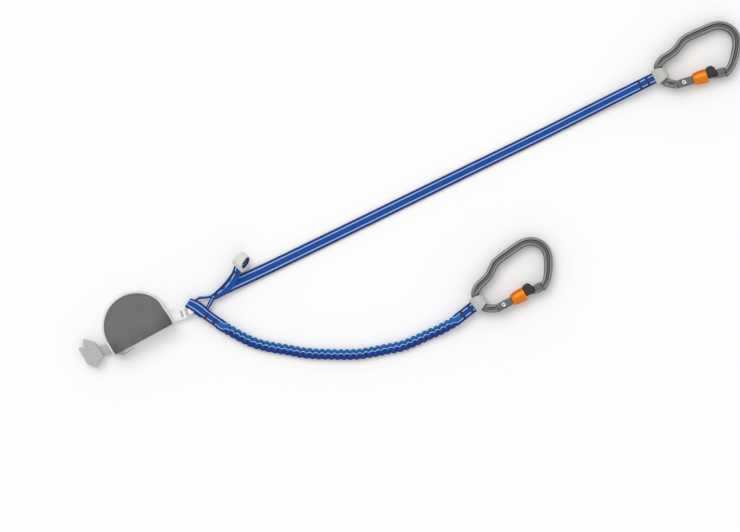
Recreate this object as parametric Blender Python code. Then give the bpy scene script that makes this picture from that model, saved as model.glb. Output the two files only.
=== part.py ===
"""Via ferrata lanyard: an energy absorber in a zipped pouch, a girth hitch for the
harness, and two elastic webbing arms, each with a twist-lock carabiner.

It lies on its back on a flat surface, seen as from straight above: +X to the right,
+Y up the page, +Z off the surface. The origin is on the surface, under the middle.
"""
import math

import bmesh
import bpy
from mathutils import Matrix, Vector

MM = 0.001

# General gaps and steps
GAP = 0.3 * MM
OVERRUN = 4.0 * MM
ARC_STEP_DEG = 15.0

# Pouch: a D in plan, its straight edge along local X
POUCH_AT = (-307.3 * MM, -168.3 * MM)
POUCH_TURN_DEG = 28.4
POUCH_ARC_RADIUS = 38.5 * MM
POUCH_ARC_CENTRE = 17.0 * MM
POUCH_CORNER_RADIUS = 2.5 * MM
RIM_OUT = 2.0 * MM
RIM_BOTTOM_INSET = 0.6 * MM
GUSSET_WALL = 1.6 * MM
BACK_THICKNESS = 2.0 * MM
GUSSET_HEIGHT = 19.0 * MM
FRONT_EDGE_HEIGHT = 1.6 * MM
FRONT_CROWN = 2.6 * MM

# Zip along the straight edge
ZIP_LENGTH = 66.0 * MM
ZIP_HEIGHT = 5.2 * MM
ZIP_LEVEL_SHARE = 0.5
TOOTH_COUNT = 28
TOOTH_OUT = 0.9 * MM
TOOTH_LOW = 0.45 * MM
SLIDER_LENGTH = 9.5 * MM
SLIDER_HEIGHT = 7.6 * MM
SLIDER_DEPTH = 2.0 * MM
SLIDER_AT = -31.0 * MM
BRIDGE_OUT = 2.5 * MM
BRIDGE_BAR_RADIUS = 0.65 * MM
LUG_HEIGHT = 0.9 * MM
PULLER_LENGTH = 16.5 * MM
PULLER_THICKNESS = 1.2 * MM
PULLER_EYE_RADIUS = 1.5 * MM
PULLER_TURN_DEG = 6.0

# Folded tear webbing in the pouch
PACK_LENGTH = 58.0 * MM
PACK_WIDTH = 30.0 * MM
PACK_EDGE = 3.6 * MM
PACK_PLIES = 5
PACK_PLY_GAP = 0.5 * MM
BAND_WIDTH = 9.0 * MM
BAND_THICKNESS = 0.8 * MM

# Girth hitch and sling strap, local X along the strap to the pouch
HITCH_AT = (-358.1 * MM, -181.2 * MM)
HITCH_TURN_DEG = 12.0
STRAP_WIDTH = 10.8 * MM
STRAP_THICKNESS = 4.4 * MM
STRAP_LEVEL = 7.0 * MM
HITCH_HEIGHT = 12.2 * MM
HITCH_FOOT = 0.6 * MM
HITCH_LENGTH = 27.0 * MM
HITCH_BREADTH = 35.0 * MM
HITCH_ROUND = 1.8 * MM
RING_HOLE_HALF_WIDTH = 3.0 * MM
RING_HOLE_HALF_HEIGHT = 3.6 * MM
RING_HOLE_ROUND = 1.0 * MM

# White link loop, local X from the pouch to the arms
LINK_AT = (-246.1 * MM, -131.8 * MM)
LINK_TURN_DEG = 19.0
LINK_PLY = 1.6 * MM
LINK_FOOT = 1.0 * MM
LINK_EYE_INSIDE = 5.1 * MM
LINK_WIDTH = 12.6 * MM
LINK_EYE_WIDTH = 4.4 * MM
LINK_ASIDE = -0.9 * MM
LINK_OPEN_TO = -13.0 * MM
LINK_SEWN_TO = -17.5 * MM
LINK_NARROWS_FROM = -15.5 * MM
LINK_NARROWS_TO = -11.0 * MM

# Arms: both swing at the link's eye
ARM_PIVOT = (-1.0 * MM, 0.0 * MM)
WEB_PLY = 1.6 * MM

# Lower arm's inner loop, local X down the arm
LOWER_TURN_DEG = -34.5
LOWER_LOOP_WIDTH = 12.0 * MM
LOWER_FOLD = -12.2 * MM
LOWER_OPEN_TO = 10.4 * MM
LOWER_DRAWN_TO = -0.4 * MM
LOWER_SEWN_FROM = 15.2 * MM
LOWER_LOOP_END = 30.0 * MM

# Upper arm's inner loop and stitched joint
STRAND_HEIGHT = 2.3 * MM
JOINT_HEIGHT = 5.0 * MM
STUB_TURN_DEG = 56.0
STUB_PITCH_DEG = 13.0
STUB_ROLL_DEG = -24.0
STUB_AT = (-196.1 * MM, -77.9 * MM, 12.4 * MM)
STUB_LENGTH = 27.0 * MM
STUB_WIDTH = 8.6 * MM

# Free stretches of webbing
ARM_THICKNESS = 2.6 * MM
UPPER_WIDTH_START = 14.8 * MM
UPPER_WIDTH_END = 13.6 * MM
CRIMP_PITCH = 7.28 * MM
CRIMP_WIDTH = 12.6 * MM
CRIMP_HEIGHT = 7.0 * MM
CRIMP_DEPTH_SHARE = 0.17

# Carabiner frame: a forged rod with an I section, local X from the webbing to the far end
FRAME_LENGTH = 103.5 * MM
FRAME_SPAN = 66.0 * MM
ROD_WIDTH = 10.2 * MM
ROD_HEIGHT = 11.4 * MM
EYE_ROD = 9.6 * MM
GROOVE_SHARE = 0.32
TANG_THICKNESS = 4.4 * MM
TANG_RADIUS = 5.0 * MM
LOWER_CARABINER_AT = (80.1 * MM, -125.2 * MM)
LOWER_CARABINER_TURN_DEG = 38.0
UPPER_CARABINER_AT = (290.0 * MM, 137.9 * MM)
UPPER_CARABINER_TURN_DEG = 26.6
LIE_LEVEL = 9.1 * MM
LIE_PITCH_DEG = 1.6
LIE_ROLL_DEG = 2.1

# Gate and twist-lock sleeve, local X from the rivet to the nose
GATE_REACH = 49.1 * MM
GATE_TAIL = 8.6 * MM
GATE_WIDTH = 9.4 * MM
GATE_HEIGHT = 10.4 * MM
SHAFT_RADIUS = 4.2 * MM
SHAFT_NECK_RADIUS = 3.0 * MM
NOSE_LENGTH = 9.2 * MM
NOSE_WIDTH = 7.8 * MM
NOSE_HEIGHT = 9.0 * MM
NOSE_GAP = 1.3 * MM
RIVET_RADIUS = 2.2 * MM
RIVET_HEAD_RADIUS = 3.0 * MM
RIVET_HEAD_HEIGHT = 0.6 * MM
PLUNGER_RADIUS = 1.3 * MM
PLUNGER_LENGTH = 12.0 * MM
BARREL_START = 10.8 * MM
BARREL_SHARE = 0.5895
BARREL_SMALL_RADIUS = 6.2 * MM
BARREL_BIG_RADIUS = 8.4 * MM
BARREL_WALL = 1.9 * MM
COLLAR_INSIDE = 9.9 * MM
COLLAR_OUTSIDE = 4.1 * MM
COLLAR_HALF_HEIGHT = 7.0 * MM
LIP_THICKNESS = 2.8 * MM
LIP_HALF_HEIGHT = 4.4 * MM
KEY_HEAD = 1.8 * MM
KEY_HALF_HEIGHT = 2.6 * MM
KEY_NECK_HALF_HEIGHT = 1.3 * MM
SPRING_WIRE_RADIUS = 0.45 * MM
SPRING_TURNS = 5

# Webbing loop round the rod, and its rubber keeper
LOOP_WIDTH = 12.8 * MM
LOOP_PLY = 1.5 * MM
ROD_PLAY = 0.7 * MM
LOOP_LENGTH = 26.0 * MM
LOOP_OPEN_SHARE = 0.3
KEEPER_WALL = 1.2 * MM
KEEPER_TAIL = 8.4 * MM
KEEPER_EAR_OUT = 3.4 * MM
KEEPER_MID_OUT = 1.2 * MM
KEEPER_TIP_SHARE = 0.31
KEEPER_ROUND = 0.7 * MM

# Frame centreline from the hinge leg round to the nose: shares of FRAME_LENGTH,
# half FRAME_SPAN and ROD_WIDTH
FRAME_SHARES = [
    (0.145, -0.590, 0.96), (0.118, -0.564, 0.94), (0.074, -0.470, 0.92), (0.024, -0.335, 0.96),
    (-0.001, -0.200, 0.94), (-0.002, 0.000, 0.94), (-0.001, 0.200, 0.94), (0.022, 0.325, 0.97),
    (0.063, 0.405, 0.98), (0.116, 0.468, 0.97), (0.193, 0.482, 0.96), (0.290, 0.552, 0.95),
    (0.382, 0.703, 0.98), (0.454, 0.752, 0.99), (0.580, 0.739, 1.00), (0.676, 0.724, 1.00),
    (0.773, 0.703, 1.00), (0.850, 0.618, 0.99), (0.906, 0.473, 1.00), (0.941, 0.279, 1.01),
    (0.951, 0.091, 1.02), (0.939, -0.121, 1.03), (0.904, -0.315, 1.02), (0.856, -0.515, 0.99),
    (0.798, -0.715, 0.94), (0.739, -0.867, 0.89), (0.685, -0.940, 0.93), (0.650, -0.965, 0.96)]
HINGE_SHARES = (0.198, -0.606)
NOSE_SHARES = (0.6653, -0.8631)

# How far the first points of the hinge leg go with the rivet
LEG_SHARES = [1.0, 0.95, 0.75, 0.4, 0.1]

# Half of the I section: across, up, whether the groove takes it down
SECTION_SHARES = [(1.0, 0.46, 0), (0.80, 0.93, 0), (0.44, 1.0, 0), (0.27, 0.98, 1)]

# Hitch outlines in shares of HITCH_LENGTH and HITCH_BREADTH, from the strap's fold line
BAND_SHARES = [
    (-0.663, 0.474), (-0.63, 0.486), (-0.185, 0.314), (-0.104, 0.171), (0.056, -0.143),
    (0.074, -0.186), (0.0, -0.257), (-0.352, -0.514), (-0.452, -0.474), (-0.370, -0.369),
    (-0.570, 0.246), (-0.663, 0.262)]
EYE_SHARES = [
    (-0.944, 0.240), (-0.584, 0.240), (-0.387, -0.366), (-0.685, -0.366), (-0.722, -0.286),
    (-0.759, -0.114)]
RING_SHARES = [(-0.822, 0.480), (-0.478, -0.560)]

# Hand-chosen plan routes, in millimetres on the surface, with the level of each point
UPPER_ROUTE = [
    (-205.5, -104.8, 5.8), (-192.5, -98.9, 4.4), (-151.2, -79.5, 2.4), (-61.2, -35.7, 1.7),
    (58.1, 22.7, 1.7), (150.9, 68.0, 2.0), (220.5, 103.1, 4.2), (257.4, 121.6, 9.0),
    (266.2, 126.0, 9.8)]
LOWER_ROUTE = [
    (-221.8, -149.6, 7.1), (-214.8, -154.4, 6.9), (-186.8, -169.8, 4.2), (-165.5, -176.5, 3.9),
    (-142.8, -180.5, 3.9), (-120.2, -184.4, 3.9), (-93.5, -185.8, 3.9), (-63.4, -185.8, 3.9),
    (-45.6, -183.4, 3.9), (-27.9, -179.9, 3.9), (-10.1, -176.3, 3.9), (5.3, -170.4, 4.0),
    (20.7, -163.3, 4.4), (33.7, -157.7, 5.4), (49.8, -148.8, 8.6), (59.2, -141.5, 9.8)]
STRAND_ROUTE = [
    (16.6, 4.6, 3.6), (13.0, 1.0, 4.6), (10.0, -2.2, 4.0), (6.9, -4.8, 2.8), (2.6, -5.9, 2.2),
    (-2.2, -5.0, 2.2), (-5.6, -1.4, 2.2), (-5.6, 2.8, 2.2), (-3.0, 6.4, 2.2), (1.2, 9.0, 2.2),
    (5.8, 10.2, 2.2), (10.6, 9.0, 2.2), (16.6, 7.4, 2.2)]
JOINT_ROUTE = [(17.0, 6.2), (25.0, 7.3), (34.0, 9.4), (41.0, 11.2), (46.6, 12.1)]
JOINT_WIDTH_SHARES = [0.38, 0.46, 0.60, 0.82, 0.97]


def clear_scene():
    for item in list(bpy.data.objects):
        bpy.data.objects.remove(item, do_unlink=True)


# Materials

def linear(value):
    if value <= 0.04045:
        return value / 12.92
    return ((value + 0.055) / 1.055) ** 2.4


def material(name, colour, roughness, metallic=0.0):
    result = bpy.data.materials.new(name)
    result.use_nodes = True
    shader = result.node_tree.nodes["Principled BSDF"]
    channels = [int(colour[i:i + 2], 16) / 255 for i in (0, 2, 4)]
    shader.inputs["Base Color"].default_value = [linear(c) for c in channels] + [1.0]
    shader.inputs["Roughness"].default_value = roughness
    shader.inputs["Metallic"].default_value = metallic
    return result


# Points and curves

def polar(radius, degrees, centre=(0.0, 0.0)):
    turn = math.radians(degrees)
    return (centre[0] + radius * math.cos(turn), centre[1] + radius * math.sin(turn))


def arc(radius, start, end, centre=(0.0, 0.0)):
    steps = max(2, math.ceil(abs(end - start) / ARC_STEP_DEG))
    return [polar(radius, start + (end - start) * i / steps, centre) for i in range(steps + 1)]


def blend(a, b, share):
    return a + (b - a) * share


def smooth_path(points, steps):
    """A Catmull-Rom curve through the points, which may hold any number of values."""
    first = [2 * a - b for a, b in zip(points[0], points[1])]
    last = [2 * a - b for a, b in zip(points[-1], points[-2])]
    ends = [first] + [list(p) for p in points] + [last]
    result = []
    for i in range(1, len(ends) - 2):
        p0, p1, p2, p3 = ends[i - 1:i + 3]
        for k in range(steps):
            t = k / steps
            result.append([0.5 * (2 * b + (c - a) * t + (2 * a - 5 * b + 4 * c - d) * t * t
                                  + (3 * b - a - 3 * c + d) * t ** 3)
                           for a, b, c, d in zip(p0, p1, p2, p3)])
    result.append(list(points[-1]))
    return result


def even_path(points, count):
    """The curve's points at even steps along it, ends included."""
    fine = [Vector(p) for p in smooth_path(points, 24)]
    reach = [0.0]
    for a, b in zip(fine, fine[1:]):
        reach.append(reach[-1] + (b - a).length)
    result = []
    spot = 0
    for i in range(count):
        goal = reach[-1] * i / (count - 1)
        while spot < len(fine) - 2 and reach[spot + 1] < goal:
            spot += 1
        share = (goal - reach[spot]) / (reach[spot + 1] - reach[spot])
        result.append(fine[spot].lerp(fine[spot + 1], share))
    return result, reach[-1]


# Meshes

def mesh_from(name, points, faces):
    mesh = bpy.data.meshes.new(name)
    mesh.from_pydata([tuple(p) for p in points], [], faces)
    shape = bmesh.new()
    shape.from_mesh(mesh)
    bmesh.ops.remove_doubles(shape, verts=shape.verts, dist=GAP / 1000)
    bmesh.ops.recalc_face_normals(shape, faces=shape.faces)
    shape.to_mesh(mesh)
    shape.free()
    return mesh


def loft(name, rings, closed=False):
    """Skins rings of equal count, with flat caps unless the rings close on themselves."""
    count = len(rings[0])
    points = [p for ring in rings for p in ring]
    spans = len(rings) if closed else len(rings) - 1
    faces = []
    for r in range(spans):
        low = r * count
        high = (r + 1) % len(rings) * count
        faces += [(low + i, low + (i + 1) % count, high + (i + 1) % count, high + i)
                  for i in range(count)]
    if not closed:
        faces.append(tuple(range(count)))
        faces.append(tuple(len(points) - 1 - i for i in range(count)))
    return mesh_from(name, points, faces)


def prism(name, outline, low, high, rounding=0.0, segments=2):
    """The outline in local X and Y, drawn out from low to high along Z."""
    mesh = loft(name, [[(x, y, z) for x, y in outline] for z in (low, high)])
    if rounding:
        soften(mesh, rounding, segments)
    return mesh


def side_prism(name, outline, half_width):
    """The outline in local X and Z, drawn out both ways along Y."""
    return loft(name, [[(x, y, z) for x, z in outline] for y in (-half_width, half_width)])


def soften(mesh, rounding, segments=2, sharper_than=20):
    shape = bmesh.new()
    shape.from_mesh(mesh)
    edges = [e for e in shape.edges
             if e.is_manifold and math.degrees(e.calc_face_angle()) > sharper_than]
    bmesh.ops.bevel(shape, geom=edges, offset=rounding, segments=segments, profile=0.5,
                    affect="EDGES", clamp_overlap=True)
    bmesh.ops.recalc_face_normals(shape, faces=shape.faces)
    shape.to_mesh(mesh)
    shape.free()


def turned(name, profile, sides=24, along="X", closed=False):
    """Turns (reach, radius) pairs about the axis; a closed profile makes a bush."""
    rings = []
    for reach, radius in profile:
        ring = []
        for i in range(sides):
            y, z = polar(radius, 360 * i / sides)
            ring.append((reach, y, z) if along == "X" else (z, y, reach))
        rings.append(ring)
    return loft(name, rings, closed)


def box(name, low, high):
    corners = [(low[0], low[1]), (high[0], low[1]), (high[0], high[1]), (low[0], high[1])]
    return prism(name, corners, low[2], high[2])


# Objects

def place(name, mesh, look, parent, frame, smooth=35):
    """A named object with its mesh in the frame of the given matrix."""
    item = bpy.data.objects.new(name, mesh)
    bpy.context.scene.collection.objects.link(item)
    mesh.materials.clear()
    mesh.materials.append(look)
    if smooth:
        mesh.shade_smooth()
        mesh.set_sharp_from_angle(angle=math.radians(smooth))
    item.parent = parent
    item.matrix_world = frame
    return item


def empty(name, parent, frame):
    item = bpy.data.objects.new(name, None)
    bpy.context.scene.collection.objects.link(item)
    item.empty_display_size = OVERRUN
    item.parent = parent
    bpy.context.view_layer.update()
    item.matrix_world = frame
    bpy.context.view_layer.update()
    return item


def combine(mesh, tools, operation):
    """Cuts, joins or crosses the mesh with each tool mesh in turn, exactly."""
    for tool in tools:
        body = bpy.data.objects.new("body_blank", mesh)
        other = bpy.data.objects.new("tool_blank", tool)
        for item in (body, other):
            bpy.context.scene.collection.objects.link(item)
        change = body.modifiers.new("change", "BOOLEAN")
        change.operation = operation
        change.solver = "EXACT"
        change.object = other
        graph = bpy.context.evaluated_depsgraph_get()
        graph.update()
        result = bpy.data.meshes.new_from_object(body.evaluated_get(graph))
        result.name = mesh.name
        for item in (body, other):
            bpy.data.objects.remove(item)
        bpy.data.meshes.remove(tool)
        mesh = result
    return mesh


def cut(mesh, *tools):
    return combine(mesh, tools, "DIFFERENCE")


def join(mesh, *tools):
    return combine(mesh, tools, "UNION")


def cross(mesh, *tools):
    return combine(mesh, tools, "INTERSECT")


def plan_frame(at, degrees, level=0.0):
    return Matrix.Translation((at[0], at[1], level)) @ Matrix.Rotation(math.radians(degrees), 4, "Z")


def tilt(degrees, axis):
    return Matrix.Rotation(math.radians(degrees), 4, axis)


def to_plan(frame, point):
    moved = frame @ Vector((point[0], point[1], 0.0))
    return (moved.x, moved.y)


# Pouch

def pouch_outline(radius, bottom, corner):
    """An arc over a straight edge, with small round corners where they meet."""
    inner = radius - corner
    lift = bottom + corner - POUCH_ARC_CENTRE
    spread = math.sqrt(inner ** 2 - lift ** 2)
    turn = math.degrees(math.atan2(lift, spread))
    middle = POUCH_ARC_CENTRE
    outline = arc(radius, turn, 180 - turn, (0.0, middle))
    left = (-spread, bottom + corner)
    right = (spread, bottom + corner)
    outline += arc(corner, 180 - turn, 270, left)[1:]
    outline += arc(corner, -90, turn, right)[:-1]
    return outline


def pouch_levels():
    wall_top = BACK_THICKNESS + GAP + GUSSET_HEIGHT
    zip_level = BACK_THICKNESS + GAP + GUSSET_HEIGHT * ZIP_LEVEL_SHARE
    return wall_top, zip_level


def rim_radius():
    return POUCH_ARC_RADIUS + RIM_OUT


def build_pouch(parent, frame, looks, hitch_frame, link_frame):
    wall_top, zip_level = pouch_levels()
    outline = pouch_outline(POUCH_ARC_RADIUS, 0.0, POUCH_CORNER_RADIUS)
    middle = Vector((0.0, POUCH_ARC_CENTRE))
    low = wall_top + GAP
    rings = []
    for share, level in ((0.975, 0.0), (1.0, 0.35), (1.0, 0.75), (0.965, 1.0)):
        rings.append((share, low + FRONT_EDGE_HEIGHT * level))
    for share in (0.86, 0.68, 0.45):
        rise = FRONT_CROWN * (1 - share ** 2)
        rings.append((share, low + FRONT_EDGE_HEIGHT + rise))
    shapes = []
    for share, level in rings:
        shapes.append([tuple(middle.lerp(Vector(p), share)) + (level,) for p in outline])
    place("pouch_front", loft("pouch_front", shapes), looks["pouch"], parent, frame, 50)

    back = prism("pouch_back", outline, 0.0, BACK_THICKNESS)
    place("pouch_back", back, looks["pouch"], parent, frame, 50)

    rim = pouch_outline(rim_radius(), RIM_BOTTOM_INSET, POUCH_CORNER_RADIUS)
    hollow = pouch_outline(rim_radius() - GUSSET_WALL, RIM_BOTTOM_INSET + GUSSET_WALL,
                           POUCH_CORNER_RADIUS)
    floor = BACK_THICKNESS + GAP
    gusset = prism("pouch_gusset", rim, floor, wall_top)
    inside = prism("inside", hollow, floor - OVERRUN, wall_top + OVERRUN)
    zip_half = ZIP_LENGTH / 2 + GAP
    slot = box("zip_slot", (-zip_half, RIM_BOTTOM_INSET - OVERRUN, zip_level - ZIP_HEIGHT / 2 - GAP),
               (zip_half, RIM_BOTTOM_INSET + OVERRUN, zip_level + ZIP_HEIGHT / 2 + GAP))
    to_pouch = frame.inverted()
    strap_half = STRAP_WIDTH / 2 + GAP
    strap_slot = box("strap_slot", (0.0, -strap_half, STRAP_LEVEL - STRAP_THICKNESS / 2 - GAP),
                     (HITCH_LENGTH, strap_half, STRAP_LEVEL + STRAP_THICKNESS / 2 + GAP))
    strap_slot.transform(to_pouch @ hitch_frame)
    link_half = LINK_WIDTH / 2 + GAP
    link_low, link_high = link_sewn_levels()
    link_slot = box("link_slot", (link_root(frame, link_frame), LINK_ASIDE - link_half, link_low - GAP),
                    (LINK_NARROWS_FROM, LINK_ASIDE + link_half, link_high + GAP))
    link_slot.transform(to_pouch @ link_frame)
    gusset = cut(gusset, inside, slot, strap_slot, link_slot)
    place("pouch_gusset", gusset, looks["rim"], parent, frame, 50)
    build_zip(parent, frame, looks, zip_level)
    build_pack(parent, frame, looks, floor, wall_top)


def build_zip(parent, frame, looks, level):
    """A closed row of teeth on its tape, lying in the slot of the gusset."""
    pitch = ZIP_LENGTH / TOOTH_COUNT
    inner = RIM_BOTTOM_INSET + GUSSET_WALL
    rings = []
    for i in range(TOOTH_COUNT):
        start = -ZIP_LENGTH / 2 + i * pitch
        for share, out in ((0.0, TOOTH_LOW), (0.25, TOOTH_OUT), (0.55, TOOTH_OUT), (0.8, TOOTH_LOW)):
            x = start + pitch * share
            half = ZIP_HEIGHT / 2
            tooth = half * (0.55 if out == TOOTH_OUT else 0.42)
            front = RIM_BOTTOM_INSET - out
            face = RIM_BOTTOM_INSET
            rings.append([(x, inner, level + half), (x, face, level + half),
                          (x, front, level + tooth), (x, front, level - tooth),
                          (x, face, level - half), (x, inner, level - half)])
    place("zip_teeth", loft("zip_teeth", rings), looks["rim"], parent, frame, 30)


def build_pack(parent, frame, looks, floor, top):
    """Tear webbing folded to and fro in plies, with an elastic band round the bundle."""
    low = floor + BAND_THICKNESS + 2 * GAP
    height = top - BAND_THICKNESS - 2 * GAP - low
    ply = (height - (PACK_PLIES - 1) * PACK_PLY_GAP) / PACK_PLIES
    half = PACK_LENGTH / 2
    outer = []
    inner = []
    for i in range(PACK_PLIES):
        side = 1 if i % 2 == 0 else -1
        bottom = low + i * (ply + PACK_PLY_GAP)
        start = -side * half if i == 0 else -side * (half - ply)
        end = side * half if i == PACK_PLIES - 1 else side * (half - ply)
        outer.append(((start, bottom), (end, bottom)))
        inner.append(((start, bottom + ply), (end, bottom + ply)))
    edge_a = []
    edge_b = []
    for i in range(PACK_PLIES):
        side = 1 if i % 2 == 0 else -1
        low_line, high_line = outer[i], inner[i]
        if i % 2 == 0:
            edge_a += [low_line[0], low_line[1]]
            edge_b += [high_line[0], high_line[1]]
        else:
            edge_a += [high_line[0], high_line[1]]
            edge_b += [low_line[0], low_line[1]]
        if i < PACK_PLIES - 1:
            bend_x = side * (half - ply)
            bend_z = low_line[0][1] + ply + PACK_PLY_GAP / 2
            outside = arc(ply + PACK_PLY_GAP / 2, -90, 90)
            turn = [(bend_x + side * x, bend_z + z) for x, z in outside[1:-1]]
            if i % 2 == 0:
                edge_a += turn
            else:
                edge_b += turn
    outline = edge_a + edge_b[::-1]
    pack = side_prism("tear_webbing", outline, PACK_WIDTH / 2)
    lift = Matrix.Translation((0.0, PACK_EDGE + PACK_WIDTH / 2, 0.0))
    pack.transform(lift)
    place("tear_webbing", pack, looks["tear"], parent, frame, 40)

    band_half = BAND_WIDTH / 2
    hold_half = PACK_WIDTH / 2 + GAP
    wide = hold_half + BAND_THICKNESS
    band = box("pack_band", (-band_half, -wide, low - GAP - BAND_THICKNESS),
               (band_half, wide, low + height + GAP + BAND_THICKNESS))
    hold = box("hold", (-band_half - OVERRUN, -hold_half, low - GAP),
               (band_half + OVERRUN, hold_half, low + height + GAP))
    band = cut(band, hold)
    band.transform(lift)
    place("pack_band", band, looks["tack"], parent, frame, 0)


def build_zip_slider(parent, frame, looks):
    wall_top, level = pouch_levels()
    face = RIM_BOTTOM_INSET - TOOTH_OUT - GAP
    half = SLIDER_LENGTH / 2
    back = face - SLIDER_DEPTH
    outline = [(-half, face), (-half * 0.8, back), (half * 0.8, back), (half, face)]
    body = prism("zip_slider", outline, level - SLIDER_HEIGHT / 2, level + SLIDER_HEIGHT / 2)
    soften(body, SLIDER_DEPTH * 0.25, 1)
    pin_out = back - BRIDGE_OUT + BRIDGE_BAR_RADIUS
    lugs = []
    reach = PULLER_LENGTH * 0.11 + GAP
    for side in (-1, 1):
        low = level + side * (reach + LUG_HEIGHT / 2) - LUG_HEIGHT / 2
        lug_half = BRIDGE_BAR_RADIUS * 1.6
        lugs.append(box("lug", (-lug_half, back - BRIDGE_OUT - BRIDGE_BAR_RADIUS * 0.3, low),
                        (lug_half, back + SLIDER_DEPTH * 0.4, low + LUG_HEIGHT)))
    bar_reach = reach + LUG_HEIGHT / 2
    bar = turned("bar", [(level - bar_reach, BRIDGE_BAR_RADIUS),
                         (level + bar_reach, BRIDGE_BAR_RADIUS)], 10, "Z")
    bar.transform(Matrix.Translation((0.0, pin_out, 0.0)))
    body = join(body, *lugs, bar)
    at = frame @ Matrix.Translation((SLIDER_AT, 0.0, 0.0))
    pivot = empty("zip_slider_track", parent, at)
    place("zip_slider", body, looks["slider"], pivot, at)

    swing_at = at @ Matrix.Translation((0.0, pin_out, level)) @ tilt(PULLER_TURN_DEG, "Z")
    swing = empty("zip_puller_pin", pivot, swing_at)
    eye = arc(PULLER_EYE_RADIUS, 40, 320)
    tip_half = PULLER_EYE_RADIUS * 0.36
    eye += [(PULLER_LENGTH - tip_half, -tip_half), (PULLER_LENGTH, 0.0),
            (PULLER_LENGTH - tip_half, tip_half)]
    puller = prism("zip_puller", eye, -reach + GAP, reach - GAP)
    hole = turned("hole", [(-OVERRUN, BRIDGE_BAR_RADIUS + GAP), (OVERRUN, BRIDGE_BAR_RADIUS + GAP)],
                  10, "Z")
    place("zip_puller", cut(puller, hole), looks["slider"], swing, swing_at)


# Hitch

def build_hitch(parent, frame, looks, pouch_frame):
    """The sling's two legs sewn to a strap, the bight round the ring and over the strap."""
    to_hitch = frame.inverted() @ pouch_frame
    end_low = to_plan(to_hitch, (-PACK_LENGTH / 2 - GAP, 0.0))
    end_high = to_plan(to_hitch, (-PACK_LENGTH / 2 - GAP, PACK_WIDTH))
    half = STRAP_WIDTH / 2
    lean = (end_high[0] - end_low[0]) / (end_high[1] - end_low[1])
    low_x = end_low[0] + (-half - end_low[1]) * lean
    high_x = end_low[0] + (half - end_low[1]) * lean
    root = EYE_SHARES[1][0] * HITCH_LENGTH
    outline = [(root, -half), (low_x, -half), (high_x, half), (root, half)]
    low = STRAP_LEVEL - STRAP_THICKNESS / 2
    strap = prism("sling_strap", outline, low, low + STRAP_THICKNESS, STRAP_THICKNESS / 5, 1)
    eye = prism("eye", hitch_outline(EYE_SHARES), HITCH_FOOT, HITCH_FOOT + HITCH_HEIGHT, HITCH_ROUND)
    strap = cut(join(strap, eye), ring_way())
    place("sling_strap", strap, looks["sling"], parent, frame)

    band = prism("hitch_band", hitch_outline(BAND_SHARES), HITCH_FOOT, HITCH_FOOT + HITCH_HEIGHT,
                 HITCH_ROUND)
    passage = box("passage", (-HITCH_LENGTH, -half - GAP, low - GAP),
                  (HITCH_LENGTH, half + GAP, low + STRAP_THICKNESS + GAP))
    place("hitch_band", cut(band, passage, ring_way()), looks["sling"], parent, frame)


def ring_way():
    """The way that the harness ring takes through the bight, beside the strap's end."""
    level = HITCH_FOOT + HITCH_HEIGHT / 2
    start, end = [Vector(spot + (level,)) for spot in hitch_outline(RING_SHARES)]
    ring = box("ring", (0.0, -RING_HOLE_HALF_WIDTH, -RING_HOLE_HALF_HEIGHT),
               ((end - start).length, RING_HOLE_HALF_WIDTH, RING_HOLE_HALF_HEIGHT))
    soften(ring, RING_HOLE_ROUND)
    along = (end - start).to_track_quat("X", "Z").to_matrix().to_4x4()
    ring.transform(Matrix.Translation(start) @ along)
    return ring


def hitch_outline(shares):
    return [(x * HITCH_LENGTH, y * HITCH_BREADTH) for x, y in shares]


# Link

def link_sewn_levels():
    middle = LINK_FOOT + LINK_PLY + LINK_EYE_INSIDE / 2
    return middle - LINK_PLY, middle + LINK_PLY


def link_root(pouch_frame, frame):
    return to_plan(frame.inverted() @ pouch_frame, (PACK_LENGTH / 2 + GAP, POUCH_ARC_CENTRE))[0]


def loop_outline(radius, open_to, sewn_at, half_sewn, tail_at):
    """Side outline of a folded strap: an arc at its bend, open at full height as far as
    open_to, then closing to its sewn tail."""
    outline = arc(radius, -90, 90)
    outline += [(open_to, radius), (sewn_at, half_sewn), (tail_at, half_sewn)]
    outline += [(tail_at, -half_sewn), (sewn_at, -half_sewn), (open_to, -radius)]
    return outline


def eye_outline(radius, open_to, sewn_at):
    """The opening inside such a strap, down to where its plies meet."""
    return arc(radius, -90, 90) + [(open_to, radius), (blend(open_to, sewn_at, 0.8), 0.0),
                                   (open_to, -radius)]


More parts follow.
